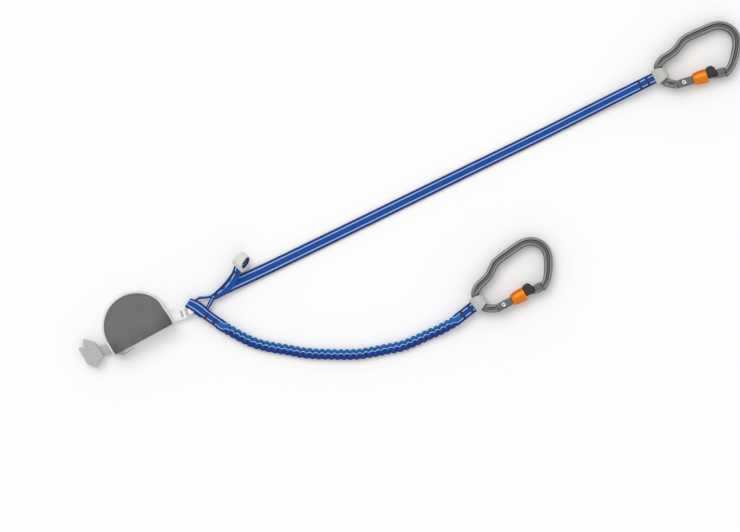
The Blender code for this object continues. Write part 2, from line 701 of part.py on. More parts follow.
def build_link(parent, frame, looks, pouch_frame):
    middle = LINK_FOOT + LINK_PLY + LINK_EYE_INSIDE / 2
    inside = LINK_EYE_INSIDE / 2
    tail = link_root(pouch_frame, frame)
    outline = loop_outline(inside + LINK_PLY, LINK_OPEN_TO, LINK_SEWN_TO, LINK_PLY, tail)
    link = side_prism("link_loop", outline, LINK_WIDTH)
    eye = eye_outline(inside, LINK_OPEN_TO, LINK_SEWN_TO)
    link = cut(link, side_prism("eye", eye, LINK_WIDTH + OVERRUN))
    link.transform(Matrix.Translation((0.0, 0.0, middle)))
    to_link = frame.inverted() @ pouch_frame
    low, high = LINK_ASIDE - LINK_WIDTH / 2, LINK_ASIDE + LINK_WIDTH / 2
    eye_low, eye_high = LINK_ASIDE - LINK_EYE_WIDTH / 2, LINK_ASIDE + LINK_EYE_WIDTH / 2
    end_low = to_plan(to_link, (PACK_LENGTH / 2 + GAP, 0.0))
    end_high = to_plan(to_link, (PACK_LENGTH / 2 + GAP, PACK_WIDTH))
    lean = (end_high[0] - end_low[0]) / (end_high[1] - end_low[1])
    low_x = end_low[0] + (low - end_low[1]) * lean
    high_x = end_low[0] + (high - end_low[1]) * lean
    reach = inside + LINK_PLY + OVERRUN
    plan = [(low_x, low), (LINK_NARROWS_FROM, low), (LINK_NARROWS_TO, eye_low),
            (reach, eye_low), (reach, eye_high), (LINK_NARROWS_TO, eye_high),
            (LINK_NARROWS_FROM, high), (high_x, high)]
    link = cross(link, prism("plan", plan, -OVERRUN, middle * 2 + OVERRUN))
    place("link_loop", link, looks["link"], parent, frame)


# Arms

def build_lower_inner_loop(parent, frame, looks):
    """A flat loop whose lower ply passes through the link's eye, sewn to a double strap."""
    low = LINK_FOOT + LINK_PLY + GAP
    outside = (LINK_EYE_INSIDE + LINK_PLY + WEB_PLY) / 2
    middle = low + outside
    tail = LOWER_FOLD + outside - LOWER_LOOP_END
    sewn = LOWER_FOLD + outside - LOWER_SEWN_FROM
    open_to = LOWER_FOLD + outside - LOWER_OPEN_TO
    outer = loop_outline(outside, open_to, sewn, WEB_PLY, tail)
    loop = side_prism("lower_inner_loop", outer, LOWER_LOOP_WIDTH / 2)
    eye = eye_outline(outside - WEB_PLY, open_to, sewn)
    loop = cut(loop, side_prism("eye", eye, LOWER_LOOP_WIDTH))
    loop.transform(Matrix.Translation((LOWER_FOLD + outside, 0.0, middle)) @ tilt(180, "Z"))
    drawn_in = box("drawn_in", (LOWER_FOLD + outside, LOWER_DRAWN_TO, low - OVERRUN),
                   (LOWER_OPEN_TO, LOWER_LOOP_WIDTH, low + WEB_PLY + GAP))
    loop = cut(loop, drawn_in)
    place("lower_inner_loop", loop, looks["webbing"], parent, frame)
    return middle


def build_upper_inner_loop(parent, frame, looks):
    """A thin strand that turns inside the link's eye, round the link's own bend."""
    level = LINK_FOOT + LINK_PLY + GAP + WEB_PLY + GAP + STRAND_HEIGHT / 2
    route, _ = even_path([tuple(v * MM for v in p) for p in STRAND_ROUTE], 28)
    rings = []
    for i, spot in enumerate(route):
        ahead = route[min(i + 1, len(route) - 1)] - route[max(i - 1, 0)]
        side = Vector((-ahead.y, ahead.x, 0.0)).normalized()
        a = spot + side * spot.z / 2
        b = spot - side * spot.z / 2
        high = level + STRAND_HEIGHT / 2
        low = level - STRAND_HEIGHT / 2
        rings.append([(a.x, a.y, low), (a.x, a.y, high), (b.x, b.y, high), (b.x, b.y, low)])
    strand = loft("upper_inner_loop", rings)

    route, _ = even_path([(x * MM, y * MM) for x, y in JOINT_ROUTE], len(JOINT_WIDTH_SHARES) * 2 - 1)
    widths = smooth_path([(share,) for share in JOINT_WIDTH_SHARES], 2)
    rings = []
    for i, (spot, width) in enumerate(zip(route, widths)):
        ahead = (route[min(i + 1, len(route) - 1)] - route[max(i - 1, 0)]).normalized()
        side = Vector((-ahead.y, ahead.x))
        half = width[0] * UPPER_WIDTH_START / 2
        rise = JOINT_HEIGHT / 2
        ring = []
        for across, up in ((1.0, -0.6), (1.0, 0.6), (0.8, 1.0), (-0.8, 1.0), (-1.0, 0.6),
                           (-1.0, -0.6), (-0.8, -1.0), (0.8, -1.0)):
            point = spot + side * half * across
            ring.append((point.x, point.y, level + rise * up))
        rings.append(ring)
    sewn = join(loft("upper_sewn_joint", rings), strand)
    place("upper_inner_loop", sewn, looks["webbing"], parent, frame)


def build_stub(parent, frame, looks):
    """The short rest loop with its own keeper and no connector in it. Its root is cut
    along the stitched joint's side."""
    start, ahead = [Vector(p[:2]) * MM for p in UPPER_ROUTE[:2]]
    turn = math.degrees(math.atan2(ahead.y - start.y, ahead.x - start.x))
    side = UPPER_WIDTH_START / 2 + GAP
    reach = STUB_LENGTH + OVERRUN
    joint = box("joint", (-reach, -reach, -reach), (reach, side, reach))
    joint.transform(frame.inverted() @ plan_frame(start, turn))
    build_webbing_loop("stub_loop", parent, frame, looks, STUB_WIDTH, STUB_LENGTH, joint)
    build_keeper("stub_keeper", parent, frame, looks, STUB_WIDTH)


def build_upper_webbing(parent, looks):
    route, length = even_path([tuple(v * MM for v in p) for p in UPPER_ROUTE], 40)
    print("upper webbing length", round(length / MM, 1))
    rings = []
    for i, spot in enumerate(route):
        share = i / (len(route) - 1)
        half = blend(UPPER_WIDTH_START, UPPER_WIDTH_END, share) / 2
        rings.append(strap_ring(route, i, spot, half, ARM_THICKNESS / 2))
    place("upper_webbing", loft("upper_webbing", rings), looks["webbing"], parent,
          Matrix.Identity(4))


def strap_ring(route, i, spot, half, rise):
    """An eight-sided section across the strap, level from side to side."""
    ahead = (route[min(i + 1, len(route) - 1)] - route[max(i - 1, 0)]).normalized()
    side = Vector((-ahead.y, ahead.x, 0.0)).normalized()
    up = side.cross(ahead) * -1
    ring = []
    for across, lift in ((1.0, -0.45), (1.0, 0.45), (0.78, 1.0), (-0.78, 1.0), (-1.0, 0.45),
                         (-1.0, -0.45), (-0.78, -1.0), (0.78, -1.0)):
        ring.append(spot + side * half * across + up * rise * lift)
    return ring


def build_lower_webbing(parent, looks):
    """Elastic webbing drawn up into crimps, each one a bulge on both faces and edges."""
    steps = 2
    lead = 4
    points = [tuple(v * MM for v in p) for p in LOWER_ROUTE]
    length = even_path(points, 2)[1]
    crimps = round(length / CRIMP_PITCH) - 2 * lead // steps
    count = crimps * steps + 2 * lead + 1
    route = even_path(points, count)[0]
    print("lower webbing length", round(length / MM, 1))
    rings = []
    for i, spot in enumerate(route):
        inside = min(i, count - 1 - i) / lead
        grow = min(1.0, inside)
        drawn = 1.0 if inside > 1 and (i - lead) % steps == 0 else 0.0
        swell = 1 - CRIMP_DEPTH_SHARE * 2 * drawn
        half = CRIMP_WIDTH / 2 * (1 - CRIMP_DEPTH_SHARE * drawn)
        rise = blend(WEB_PLY, CRIMP_HEIGHT / 2 * swell, grow)
        rings.append(strap_ring(route, i, spot, half, rise))
    place("lower_webbing", loft("lower_webbing", rings), looks["webbing"], parent,
          Matrix.Identity(4))


# Webbing loop round the carabiner's rod, and the rubber keeper over it

def build_webbing_loop(name, parent, frame, looks, width, length, *tools):
    inside = EYE_ROD / 2 + ROD_PLAY
    open_to = -KEEPER_TAIL * LOOP_OPEN_SHARE
    outer = loop_outline(inside + LOOP_PLY, open_to, -KEEPER_TAIL, LOOP_PLY, -length)
    loop = side_prism(name, outer, width / 2)
    loop = cut(loop, side_prism("eye", eye_outline(inside, open_to, -KEEPER_TAIL), width), *tools)
    place(name, loop, looks["webbing"], parent, frame)


def build_keeper(name, parent, frame, looks, width):
    """A rubber boot: the loop's shape outside, flared to two ears, open for the rod."""
    loop = EYE_ROD / 2 + ROD_PLAY + LOOP_PLY
    inside = loop + GAP
    outside = inside + KEEPER_WALL
    tail_half = LOOP_PLY + GAP
    open_to = -KEEPER_TAIL * LOOP_OPEN_SHARE
    ear = width / 2 + KEEPER_EAR_OUT
    mid = width / 2 + KEEPER_MID_OUT
    nib = width * KEEPER_TIP_SHARE
    shell = side_prism(name, loop_outline(outside, open_to, -KEEPER_TAIL, tail_half + KEEPER_WALL,
                                          -KEEPER_TAIL - OVERRUN), ear)
    tip = outside + KEEPER_ROUND
    plan = [(-KEEPER_TAIL, -ear), (0.0, -mid), (tip * 0.82, -mid * 0.8), (tip, -nib), (tip, nib),
            (tip * 0.82, mid * 0.8), (0.0, mid), (-KEEPER_TAIL, ear)]
    shell = cross(shell, prism("plan", plan, -outside - OVERRUN, outside + OVERRUN))
    soften(shell, KEEPER_ROUND, 1, 40)
    hollow = side_prism("hollow", loop_outline(inside, open_to, -KEEPER_TAIL, tail_half,
                                               -KEEPER_TAIL - OVERRUN), width / 2 + GAP)
    rod = []
    for y, flare in ((-ear - OVERRUN, 1.0), (-ear, 1.0), (-width / 2, 0.0), (width / 2, 0.0),
                     (ear, 1.0), (ear + OVERRUN, 1.0)):
        rod.append([(x + flare * EYE_ROD * 0.3, y, z)
                    for x, z in arc(EYE_ROD / 2 + ROD_PLAY * (1 + 2.4 * flare), 0, 345)])
    shell = cut(shell, hollow, loft("rod", rod))
    place(name, shell, looks["keeper"], parent, frame)


# Carabiner

def frame_point(shares):
    return Vector((shares[0] * FRAME_LENGTH, shares[1] * FRAME_SPAN / 2, 0.0))


def gate_axis():
    """The rivet, which lies the gate's reach back from the nose, and the gate's turn."""
    nose = frame_point(NOSE_SHARES)
    ahead = (nose - frame_point(HINGE_SHARES)).normalized()
    return nose - ahead * GATE_REACH, math.atan2(ahead.y, ahead.x)


def sleeve_lengths():
    """The orange sleeve and the collar fill the shaft from the fork to the nose."""
    run = GATE_REACH - NOSE_LENGTH - BARREL_START - 2 * GAP
    return run * BARREL_SHARE, run * (1 - BARREL_SHARE)


def build_frame(name, parent, frame, looks):
    rivet, turn = gate_axis()
    shift = rivet - frame_point(HINGE_SHARES)
    leg = LEG_SHARES + [0.0] * (len(FRAME_SHARES) - len(LEG_SHARES))
    path = []
    for (across, along, width), share in zip(FRAME_SHARES, leg):
        spot = frame_point((across, along)) + shift * share
        path.append((spot.x, spot.y, width * ROD_WIDTH))
    fine = smooth_path(path, 2)
    rings = []
    for i, (x, y, width) in enumerate(fine):
        before = fine[max(i - 1, 0)]
        after = fine[min(i + 1, len(fine) - 1)]
        ahead = Vector((after[0] - before[0], after[1] - before[1])).normalized()
        side = Vector((-ahead.y, ahead.x))
        away = max(0.0, math.hypot(x, y) - LOOP_WIDTH / 2) / LOOP_WIDTH
        ends = min(i, len(fine) - 1 - i) / 4
        shape = min(1.0, away * 1.6)
        groove = GROOVE_SHARE * min(1.0, away * 1.2, ends)
        rings.append([(x + side.x * a, y + side.y * a, b)
                      for a, b in section(width / 2, shape, groove)])
    body = loft(name, rings)
    gate = Matrix.Translation(rivet) @ Matrix.Rotation(turn, 4, "Z")
    tall = ROD_HEIGHT
    relief = turned("relief", [(-tall, GATE_TAIL + GAP), (tall, GATE_TAIL + GAP)], 40, "Z")
    face_radius = GATE_REACH + NOSE_GAP
    sector = arc(face_radius, -18, 12) + arc(face_radius - ROD_WIDTH, 12, -18)
    nose = prism("nose", sector, -tall, tall)
    tang_outline = arc(TANG_RADIUS, -90, 90)
    root = -GATE_TAIL - TANG_THICKNESS / 2
    tang_outline += [(root, TANG_RADIUS * 0.72), (root, -TANG_RADIUS * 0.72)]
    tang = prism("tang", tang_outline, -TANG_THICKNESS / 2, TANG_THICKNESS / 2)
    lip_in = NOSE_WIDTH / 2 + GAP
    tip = GATE_REACH - NOSE_WIDTH * 1.9
    root = face_radius + LIP_THICKNESS / 2
    lip_outline = [(tip, -lip_in), (root, -lip_in), (root, -lip_in - LIP_THICKNESS),
                   (GATE_REACH - LIP_THICKNESS, -lip_in - LIP_THICKNESS),
                   (blend(tip, GATE_REACH, 0.45), -lip_in - LIP_THICKNESS * 0.8),
                   (tip, -lip_in - LIP_THICKNESS * 0.4)]
    lip = prism("lip", lip_outline, -LIP_HALF_HEIGHT, LIP_HALF_HEIGHT)
    key_half = NOSE_WIDTH * 0.4
    head_out = face_radius - NOSE_GAP - KEY_HEAD
    neck = key_sector(head_out - KEY_HEAD * 0.1, face_radius + KEY_HEAD / 2, key_half)
    neck = prism("neck", neck, -KEY_NECK_HALF_HEIGHT, KEY_NECK_HALF_HEIGHT)
    head = prism("head", key_sector(head_out - KEY_HEAD, head_out, key_half),
                 -KEY_HALF_HEIGHT, KEY_HALF_HEIGHT)
    hole = turned("hole", [(-tall, RIVET_RADIUS + GAP), (tall, RIVET_RADIUS + GAP)], 16, "Z")
    for tool in (relief, nose, tang, lip, neck, head, hole):
        tool.transform(gate)
    body = cut(body, relief, nose)
    body = join(body, tang, lip, neck, head)
    body = cut(body, hole)
    place(name, body, looks["metal"], parent, frame, 40)


def section(half, shape, groove):
    """The rod's section: round at the webbing's eye, an I section where shape is 1."""
    quarter = []
    for across, up, grooved in SECTION_SHARES:
        turn = math.atan2(up, across)
        a = blend(math.cos(turn), across, shape) * half
        b = blend(math.sin(turn) * half, (up - grooved * groove) * ROD_HEIGHT / 2, shape)
        quarter.append((a, b))
    top = quarter + [(-a, b) for a, b in quarter[::-1]]
    return top + [(a, -b) for a, b in top[::-1]]


def key_sector(low, high, half):
    spread = math.degrees(half / high)
    return arc(high, -spread, spread) + arc(low, spread, -spread)


def build_gate(name, parent, frame, looks):
    half = GATE_WIDTH / 2
    corner = math.degrees(math.asin(half / GATE_TAIL))
    outline = arc(GATE_TAIL, 180 - corner, 180 + corner)
    outline += [(BARREL_START - GAP, -half), (BARREL_START - GAP, half)]
    tail = prism(name, outline, -GATE_HEIGHT / 2, GATE_HEIGHT / 2, KEEPER_ROUND, 2)
    nose_start = GATE_REACH - NOSE_LENGTH
    neck_start = BARREL_START + sleeve_lengths()[0] + GAP / 2
    shaft = turned("shaft", [(BARREL_START - SHAFT_RADIUS, SHAFT_RADIUS), (neck_start, SHAFT_RADIUS),
                             (neck_start, SHAFT_NECK_RADIUS),
                             (nose_start + SHAFT_RADIUS / 2, SHAFT_NECK_RADIUS)], 20)
    wide = NOSE_WIDTH / 2
    spread = math.degrees(math.asin(wide / GATE_REACH))
    end = arc(GATE_REACH, -spread, spread)
    nose = prism("nose", [(nose_start, -wide)] + end + [(nose_start, wide)],
                 -NOSE_HEIGHT / 2, NOSE_HEIGHT / 2, KEEPER_ROUND, 2)
    slot_half = TANG_THICKNESS / 2 + GAP
    slot_outline = arc(TANG_RADIUS + 2 * GAP, -90, 90)
    slot_outline += [(-GATE_TAIL - OVERRUN, half + OVERRUN), (-GATE_TAIL - OVERRUN, -half - OVERRUN)]
    slot_outline.insert(0, (0.0, -half - OVERRUN))
    slot_outline.insert(len(slot_outline) - 2, (0.0, half + OVERRUN))
    slot = prism("slot", slot_outline, -slot_half, slot_half)
    hole = turned("hole", [(-GATE_HEIGHT, RIVET_RADIUS + GAP), (GATE_HEIGHT, RIVET_RADIUS + GAP)],
                  16, "Z")
    bore = turned("bore", [(TANG_RADIUS - GAP, PLUNGER_RADIUS + GAP),
                           (TANG_RADIUS + 4 * GAP + PLUNGER_LENGTH, PLUNGER_RADIUS + GAP)], 10)
    face = GATE_REACH + OVERRUN
    head_out = GATE_REACH - KEY_HEAD
    play = 2 * GAP
    neck = prism("neck", key_sector(head_out - GAP, face, NOSE_WIDTH),
                 -KEY_NECK_HALF_HEIGHT - GAP, KEY_NECK_HALF_HEIGHT + GAP)
    head = prism("head", key_sector(head_out - KEY_HEAD - play, head_out + GAP, NOSE_WIDTH),
                 -KEY_HALF_HEIGHT - GAP, KEY_HALF_HEIGHT + GAP)
    gate = join(tail, shaft, nose)
    gate = cut(gate, slot, hole, bore, neck, head)
    place(name, gate, looks["metal"], parent, frame, 40)


def build_rivet(name, parent, frame, looks):
    reach = GATE_HEIGHT / 2 + GAP
    top = reach + RIVET_HEAD_HEIGHT
    rim = RIVET_HEAD_RADIUS
    profile = [(-top, rim * 0.6), (-reach - RIVET_HEAD_HEIGHT * 0.4, rim), (-reach, rim),
               (-reach, RIVET_RADIUS), (reach, RIVET_RADIUS), (reach, rim),
               (reach + RIVET_HEAD_HEIGHT * 0.4, rim), (top, rim * 0.6)]
    place(name, turned(name, profile, 18, "Z"), looks["steel"], parent, frame, 40)


def build_plunger(name, parent, frame, looks):
    start = TANG_RADIUS + GAP
    nose = PLUNGER_RADIUS
    profile = [(start, nose * 0.4), (start + nose * 0.4, nose * 0.8), (start + nose, nose),
               (start + PLUNGER_LENGTH, nose)]
    place(name, turned(name, profile, 10), looks["steel"], parent, frame)


def build_barrel(name, parent, frame, looks):
    start = BARREL_START
    length, _ = sleeve_lengths()
    end = start + length
    small, big = BARREL_SMALL_RADIUS, BARREL_BIG_RADIUS
    bore = SHAFT_RADIUS + GAP
    hollow = small - BARREL_WALL * 0.3
    outer = [(start, small * 0.93), (start + length * 0.03, small)]
    for share, swell in ((0.17, 0.46), (0.4, 0.80), (0.7, 0.96), (0.97, 1.0)):
        outer.append((start + length * share, blend(small, big, swell)))
    outer.append((end, big * 0.97))
    inner = [(end, bore), (end - BARREL_WALL, bore), (end - BARREL_WALL, hollow),
             (start + BARREL_WALL, hollow), (start + BARREL_WALL, bore), (start, bore)]
    place(name, turned(name, outer + inner, 24, closed=True), looks["barrel"], parent, frame, 30)


def build_sleeve_spring(name, parent, frame, looks):
    """The torsion spring that turns the sleeve back, wound round the gate's shaft."""
    low = SHAFT_RADIUS + GAP
    high = BARREL_SMALL_RADIUS - BARREL_WALL * 0.3
    radius = (low + high) / 2
    start = BARREL_START + BARREL_WALL + GAP + SPRING_WIRE_RADIUS
    reach = sleeve_lengths()[0] - 2 * (BARREL_WALL + GAP + SPRING_WIRE_RADIUS)
    data = bpy.data.curves.new(name, "CURVE")
    data.dimensions = "3D"
    data.bevel_depth = SPRING_WIRE_RADIUS
    data.bevel_resolution = 0
    data.use_fill_caps = True
    count = SPRING_TURNS * 8
    line = data.splines.new("POLY")
    line.points.add(count)
    for i in range(count + 1):
        y, z = polar(radius, 360 * SPRING_TURNS * i / count)
        line.points[i].co = (start + reach * i / count, y, z, 1.0)
    item = bpy.data.objects.new(name, data)
    bpy.context.scene.collection.objects.link(item)
    data.materials.append(looks["steel"])
    item.parent = parent
    item.matrix_world = frame


def build_collar(name, parent, frame, looks):
    """The black bush on the gate's neck, humped to the inside and flat to the lip."""
    barrel, length = sleeve_lengths()
    start = BARREL_START + barrel + GAP
    high, low = COLLAR_INSIDE, COLLAR_OUTSIDE
    outline = [(start, -low)]
    for share, rise in ((1.0, 0.0), (0.985, 0.42), (0.92, 0.74), (0.70, 0.95), (0.45, 1.0),
                        (0.2, 0.955), (0.0, 0.86)):
        outline.append((start + length * share, blend(-low, high, rise)))
    collar = prism(name, outline, -COLLAR_HALF_HEIGHT, COLLAR_HALF_HEIGHT)
    soften(collar, length * 0.12, 2, 60)
    bore = turned("bore", [(start - OVERRUN, SHAFT_NECK_RADIUS + GAP),
                           (start + length + OVERRUN, SHAFT_NECK_RADIUS + GAP)], 16)
    place(name, cut(collar, bore), looks["collar"], parent, frame)


def build_carabiner(side, arm, at, degrees, looks):
    lie = tilt(LIE_PITCH_DEG, "Y") @ tilt(-LIE_ROLL_DEG, "X")
    frame = plan_frame(at, degrees, LIE_LEVEL) @ lie
    build_webbing_loop(side + "_end_loop", arm, frame, looks, LOOP_WIDTH, LOOP_LENGTH)
    build_keeper(side + "_keeper", arm, frame, looks, LOOP_WIDTH)
    pivot = empty(side + "_carabiner_pivot", arm, frame)
    build_frame(side + "_frame", pivot, frame, looks)
    rivet, turn = gate_axis()
    gate_frame = frame @ Matrix.Translation(rivet) @ Matrix.Rotation(turn, 4, "Z")
    build_rivet(side + "_hinge_rivet", pivot, gate_frame, looks)
    hinge = empty(side + "_gate_hinge", pivot, gate_frame)
    build_gate(side + "_gate", hinge, gate_frame, looks)
    build_plunger(side + "_gate_plunger", hinge, gate_frame, looks)
    build_collar(side + "_gate_collar", hinge, gate_frame, looks)
    build_sleeve_spring(side + "_sleeve_spring", hinge, gate_frame, looks)
    sleeve = empty(side + "_sleeve_axis", hinge, gate_frame)
    build_barrel(side + "_sleeve_barrel", sleeve, gate_frame, looks)


def build_lanyard():
    clear_scene()
    looks = {
        "pouch": material("grey_pouch_fabric", "6B6B6B", 0.9),
        "rim": material("pale_rim_fabric", "E0E0E0", 0.85),
        "slider": material("grey_zip_metal", "55534F", 0.45, 0.8),
        "tear": material("white_tear_webbing", "E8E6E0", 0.9),
        "tack": material("dark_elastic", "23344E", 0.85),
        "sling": material("grey_sling_webbing", "BCBCBC", 0.88),
        "link": material("white_link_webbing", "F2F2F0", 0.88),
        "webbing": material("blue_elastic_webbing", "1D4BA0", 0.82),
        "keeper": material("pale_rubber", "BEBBB8", 0.6),
        "metal": material("grey_anodised_alloy", "6E6E6C", 0.38, 0.9),
        "steel": material("bright_steel", "A0A09C", 0.3, 1.0),
        "barrel": material("orange_anodised_alloy", "F08A1C", 0.4, 0.3),
        "collar": material("black_moulded_nylon", "26241F", 0.55),
    }
    root = empty("lanyard", None, Matrix.Identity(4))
    pouch_frame = plan_frame(POUCH_AT, POUCH_TURN_DEG)
    hitch_frame = plan_frame(HITCH_AT, HITCH_TURN_DEG)
    link_frame = plan_frame(LINK_AT, LINK_TURN_DEG)
    build_pouch(root, pouch_frame, looks, hitch_frame, link_frame)
    build_zip_slider(root, pouch_frame, looks)
    build_hitch(root, hitch_frame, looks, pouch_frame)
    build_link(root, link_frame, looks, pouch_frame)

    pivot = to_plan(link_frame, ARM_PIVOT)
    upper_arm = empty("upper_arm_pivot", root, plan_frame(pivot, 0.0))
    lower_arm = empty("lower_arm_pivot", root, plan_frame(pivot, 0.0))
    build_lower_inner_loop(lower_arm, plan_frame(pivot, LOWER_TURN_DEG), looks)
    build_lower_webbing(lower_arm, looks)
    build_upper_inner_loop(upper_arm, link_frame, looks)
    build_upper_webbing(upper_arm, looks)
    stub = Matrix.Translation(STUB_AT) @ tilt(STUB_TURN_DEG, "Z")
    build_stub(upper_arm, stub @ tilt(-STUB_PITCH_DEG, "Y") @ tilt(STUB_ROLL_DEG, "X"), looks)
    build_carabiner("upper", upper_arm, UPPER_CARABINER_AT, UPPER_CARABINER_TURN_DEG, looks)
    build_carabiner("lower", lower_arm, LOWER_CARABINER_AT, LOWER_CARABINER_TURN_DEG, looks)
    bpy.context.view_layer.update()


build_lanyard()
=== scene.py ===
"""Via ferrata lanyard, dressed: webbing with its weave, stripes and bar tacks, the crimped
elastic arm, the zipped pouch, the girth hitch, rubber keepers and twist-lock carabiners.

It lies on a pale floor, seen from straight above: +X to the right, +Y up the page.
"""
import math
from contextlib import contextmanager
from types import SimpleNamespace

import bmesh
import bpy
from mathutils import Matrix, Vector, noise


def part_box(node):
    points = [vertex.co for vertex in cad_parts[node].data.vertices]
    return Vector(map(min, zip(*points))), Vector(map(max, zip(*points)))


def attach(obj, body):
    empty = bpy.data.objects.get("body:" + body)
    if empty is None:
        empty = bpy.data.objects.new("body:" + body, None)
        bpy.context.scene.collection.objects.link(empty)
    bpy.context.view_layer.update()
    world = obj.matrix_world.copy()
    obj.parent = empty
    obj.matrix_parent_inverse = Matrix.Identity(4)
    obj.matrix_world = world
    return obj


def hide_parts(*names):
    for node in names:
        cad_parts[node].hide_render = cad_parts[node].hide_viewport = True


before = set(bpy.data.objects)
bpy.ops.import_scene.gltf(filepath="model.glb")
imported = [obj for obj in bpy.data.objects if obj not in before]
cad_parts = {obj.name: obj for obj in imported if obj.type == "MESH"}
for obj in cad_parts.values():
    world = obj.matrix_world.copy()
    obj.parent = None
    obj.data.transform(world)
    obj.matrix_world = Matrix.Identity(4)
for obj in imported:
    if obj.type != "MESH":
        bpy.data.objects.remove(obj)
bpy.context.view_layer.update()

MM = 0.001
UP = Vector((0.0, 0.0, 1.0))

# The photograph's frame on the floor
PHOTO_WIDTH_PIXELS = 740
PIXEL = 1.16 * MM
CAMERA_AT = (-46.3 * MM, -83.4 * MM, 6.0)
SENSOR = 36.0
FLOOR_LEVEL = -0.2 * MM

# Places and turns in plan
POUCH_AT = (-307.3 * MM, -168.3 * MM)
POUCH_TURN = 28.4
HITCH_AT = (-358.1 * MM, -181.2 * MM)
HITCH_TURN = 12.0
LINK_AT = (-246.1 * MM, -131.8 * MM)
LINK_TURN = 19.0
LINK_LEVEL = 5.15 * MM
ARM_PIVOT = (-247.046 * MM, -132.126 * MM)
LOWER_TURN = -34.5
LOWER_LEVEL = 7.05 * MM
STUB_AT = (-196.1 * MM, -77.9 * MM, 12.4 * MM)
STUB_TILTS = ((56.0, "Z"), (-13.0, "Y"), (-24.0, "X"))
CARABINERS = {"upper": ((290.0 * MM, 137.9 * MM, 9.1 * MM), 26.6),
              "lower": ((80.1 * MM, -125.2 * MM, 9.1 * MM), 38.0)}
CARABINER_LIE = ((1.6, "Y"), (-2.1, "X"))

# Webbing
STEP = 0.8 * MM
UPPER_WIDTHS = (14.4 * MM, 13.0 * MM)
ARM_PLY = 2.6 * MM
CRIMP_PITCH = 7.276 * MM
CRIMP_LEAD = 14.55 * MM
CRIMP_WIDTH = 12.6 * MM
CRIMP_HEIGHT = 7.0 * MM
INNER_PLY = 1.6 * MM
STRAND_PLY = 2.3 * MM
LOOP_WIDTH = 12.8 * MM
LOOP_PLY = 1.5 * MM
LOOP_RADIUS = 6.25 * MM
LOOP_TAIL = -28.4 * MM
LOOP_SEWN = -8.4 * MM
LOOP_OPEN = -2.5 * MM
LOOP_THINNED = 2.6 * MM
STUB_WIDTH = 8.6 * MM
STUB_TAIL = -7.6 * MM
STUB_PLY = 2.6 * MM
STUB_STRETCH = (1.08, 1.17)
STUB_SHIFT = 1.3 * MM
ROLLED_END = -5.8 * MM
ROLLED_END_PLY = 3.0 * MM
INNER_THINNED = 3.0 * MM
STRIPE_SHARE = 0.515
TACK_THREAD = 0.32 * MM

# Link and hitch
LINK_TAIL = -43.0 * MM
LINK_SEWN = -17.5 * MM
LINK_OPEN = -13.0 * MM
LINK_BEND = 3.35 * MM
LINK_PLY = 1.6 * MM
SLING_LEVEL = 7.0 * MM
HITCH_CUT = -7.0 * MM
# Where the wrap's two halves run into each other, over and under the bight's opening
HITCH_BRIDGE = [(-17.6, 8.3), (-13.6, 9.6), (-7.0, -12.6), (-12.6, -12.9)]
BRIDGE_LEVELS = ((10.8, 12.75), (0.65, 2.7))

# Pouch
ARC_RADIUS = 38.5 * MM
ARC_CENTRE = 17.0 * MM
CORNER = 2.5 * MM
RIM_OUT = 2.0 * MM
RIM_INSET = 0.6 * MM
WALL_LOW = 2.3 * MM
WALL_TOP = 21.3 * MM
WALL_PLY = 1.6 * MM
FRONT_LEVEL = 22.9 * MM
DOME = 2.4 * MM
MARK_LEVEL = 23.5 * MM
ZIP_LEVEL = 11.8 * MM
ZIP_HEIGHT = 5.2 * MM
ZIP_LENGTH = 66.0 * MM
ZIP_FACE = RIM_INSET - 0.65 * MM
TOOTH_COUNT = 46
TOOTH_HALF_HEIGHT = 1.5 * MM
PIPING_HALF = (1.25 * MM, 0.9 * MM)
STITCH = 1.45 * MM
# Folds of the front, each along a line in millimetres, with its depth
FRONT_FOLDS = [((-34.0, 4.0), (-33.0, 16.0), 0.9), ((-33.0, 8.5), (-10.0, 6.5), 0.7),
               ((-4.0, 7.0), (12.0, 6.0), 0.5), ((35.0, 3.0), (31.0, 13.0), 0.8)]
FOLD_WIDTH = 3.2 * MM
# The wall's bulge in millimetres at shares of its height
WALL_BULGES = [(0.0, -0.4), (0.06, 0.0), (0.15, 0.3), (0.25, 0.45), (0.37, 0.55), (0.5, 0.6),
               (0.63, 0.55), (0.75, 0.45), (0.85, 0.3), (0.94, 0.0), (1.0, -0.4)]

# Absorber in the pouch
PACK_CENTRE = 18.6 * MM
PLIES = 5
PLY_GAP = 0.5 * MM
TEAR_HALF_LENGTH = 29.0 * MM
TEAR_HALF_WIDTH = 15.0 * MM
BAND_HALF_WIDTH = 15.7 * MM
BAND_HALF_LENGTH = 4.5 * MM
BAND_HALF_PLY = 0.35 * MM

# Routes on the floor, in millimetres, with each point's level
UPPER_ROUTE = [
    (-205.5, -104.8, 5.8), (-192.5, -98.9, 4.4), (-151.2, -79.5, 2.4), (-61.2, -35.7, 1.7),
    (58.1, 22.7, 1.7), (150.9, 68.0, 2.0), (220.5, 103.1, 4.2), (257.4, 121.6, 9.0),
    (266.2, 126.0, 9.8)]
LOWER_ROUTE = [
    (-221.8, -149.6, 7.1), (-214.8, -154.4, 6.9), (-186.8, -169.8, 4.2), (-165.5, -176.5, 3.9),
    (-142.8, -180.5, 3.9), (-120.2, -184.4, 3.9), (-93.5, -185.8, 3.9), (-63.4, -185.8, 3.9),
    (-45.6, -183.4, 3.9), (-27.9, -179.9, 3.9), (-10.1, -176.3, 3.9), (5.3, -170.4, 4.0),
    (20.7, -163.3, 4.4), (33.7, -157.7, 5.4), (49.8, -148.8, 8.6), (59.2, -141.5, 9.8)]
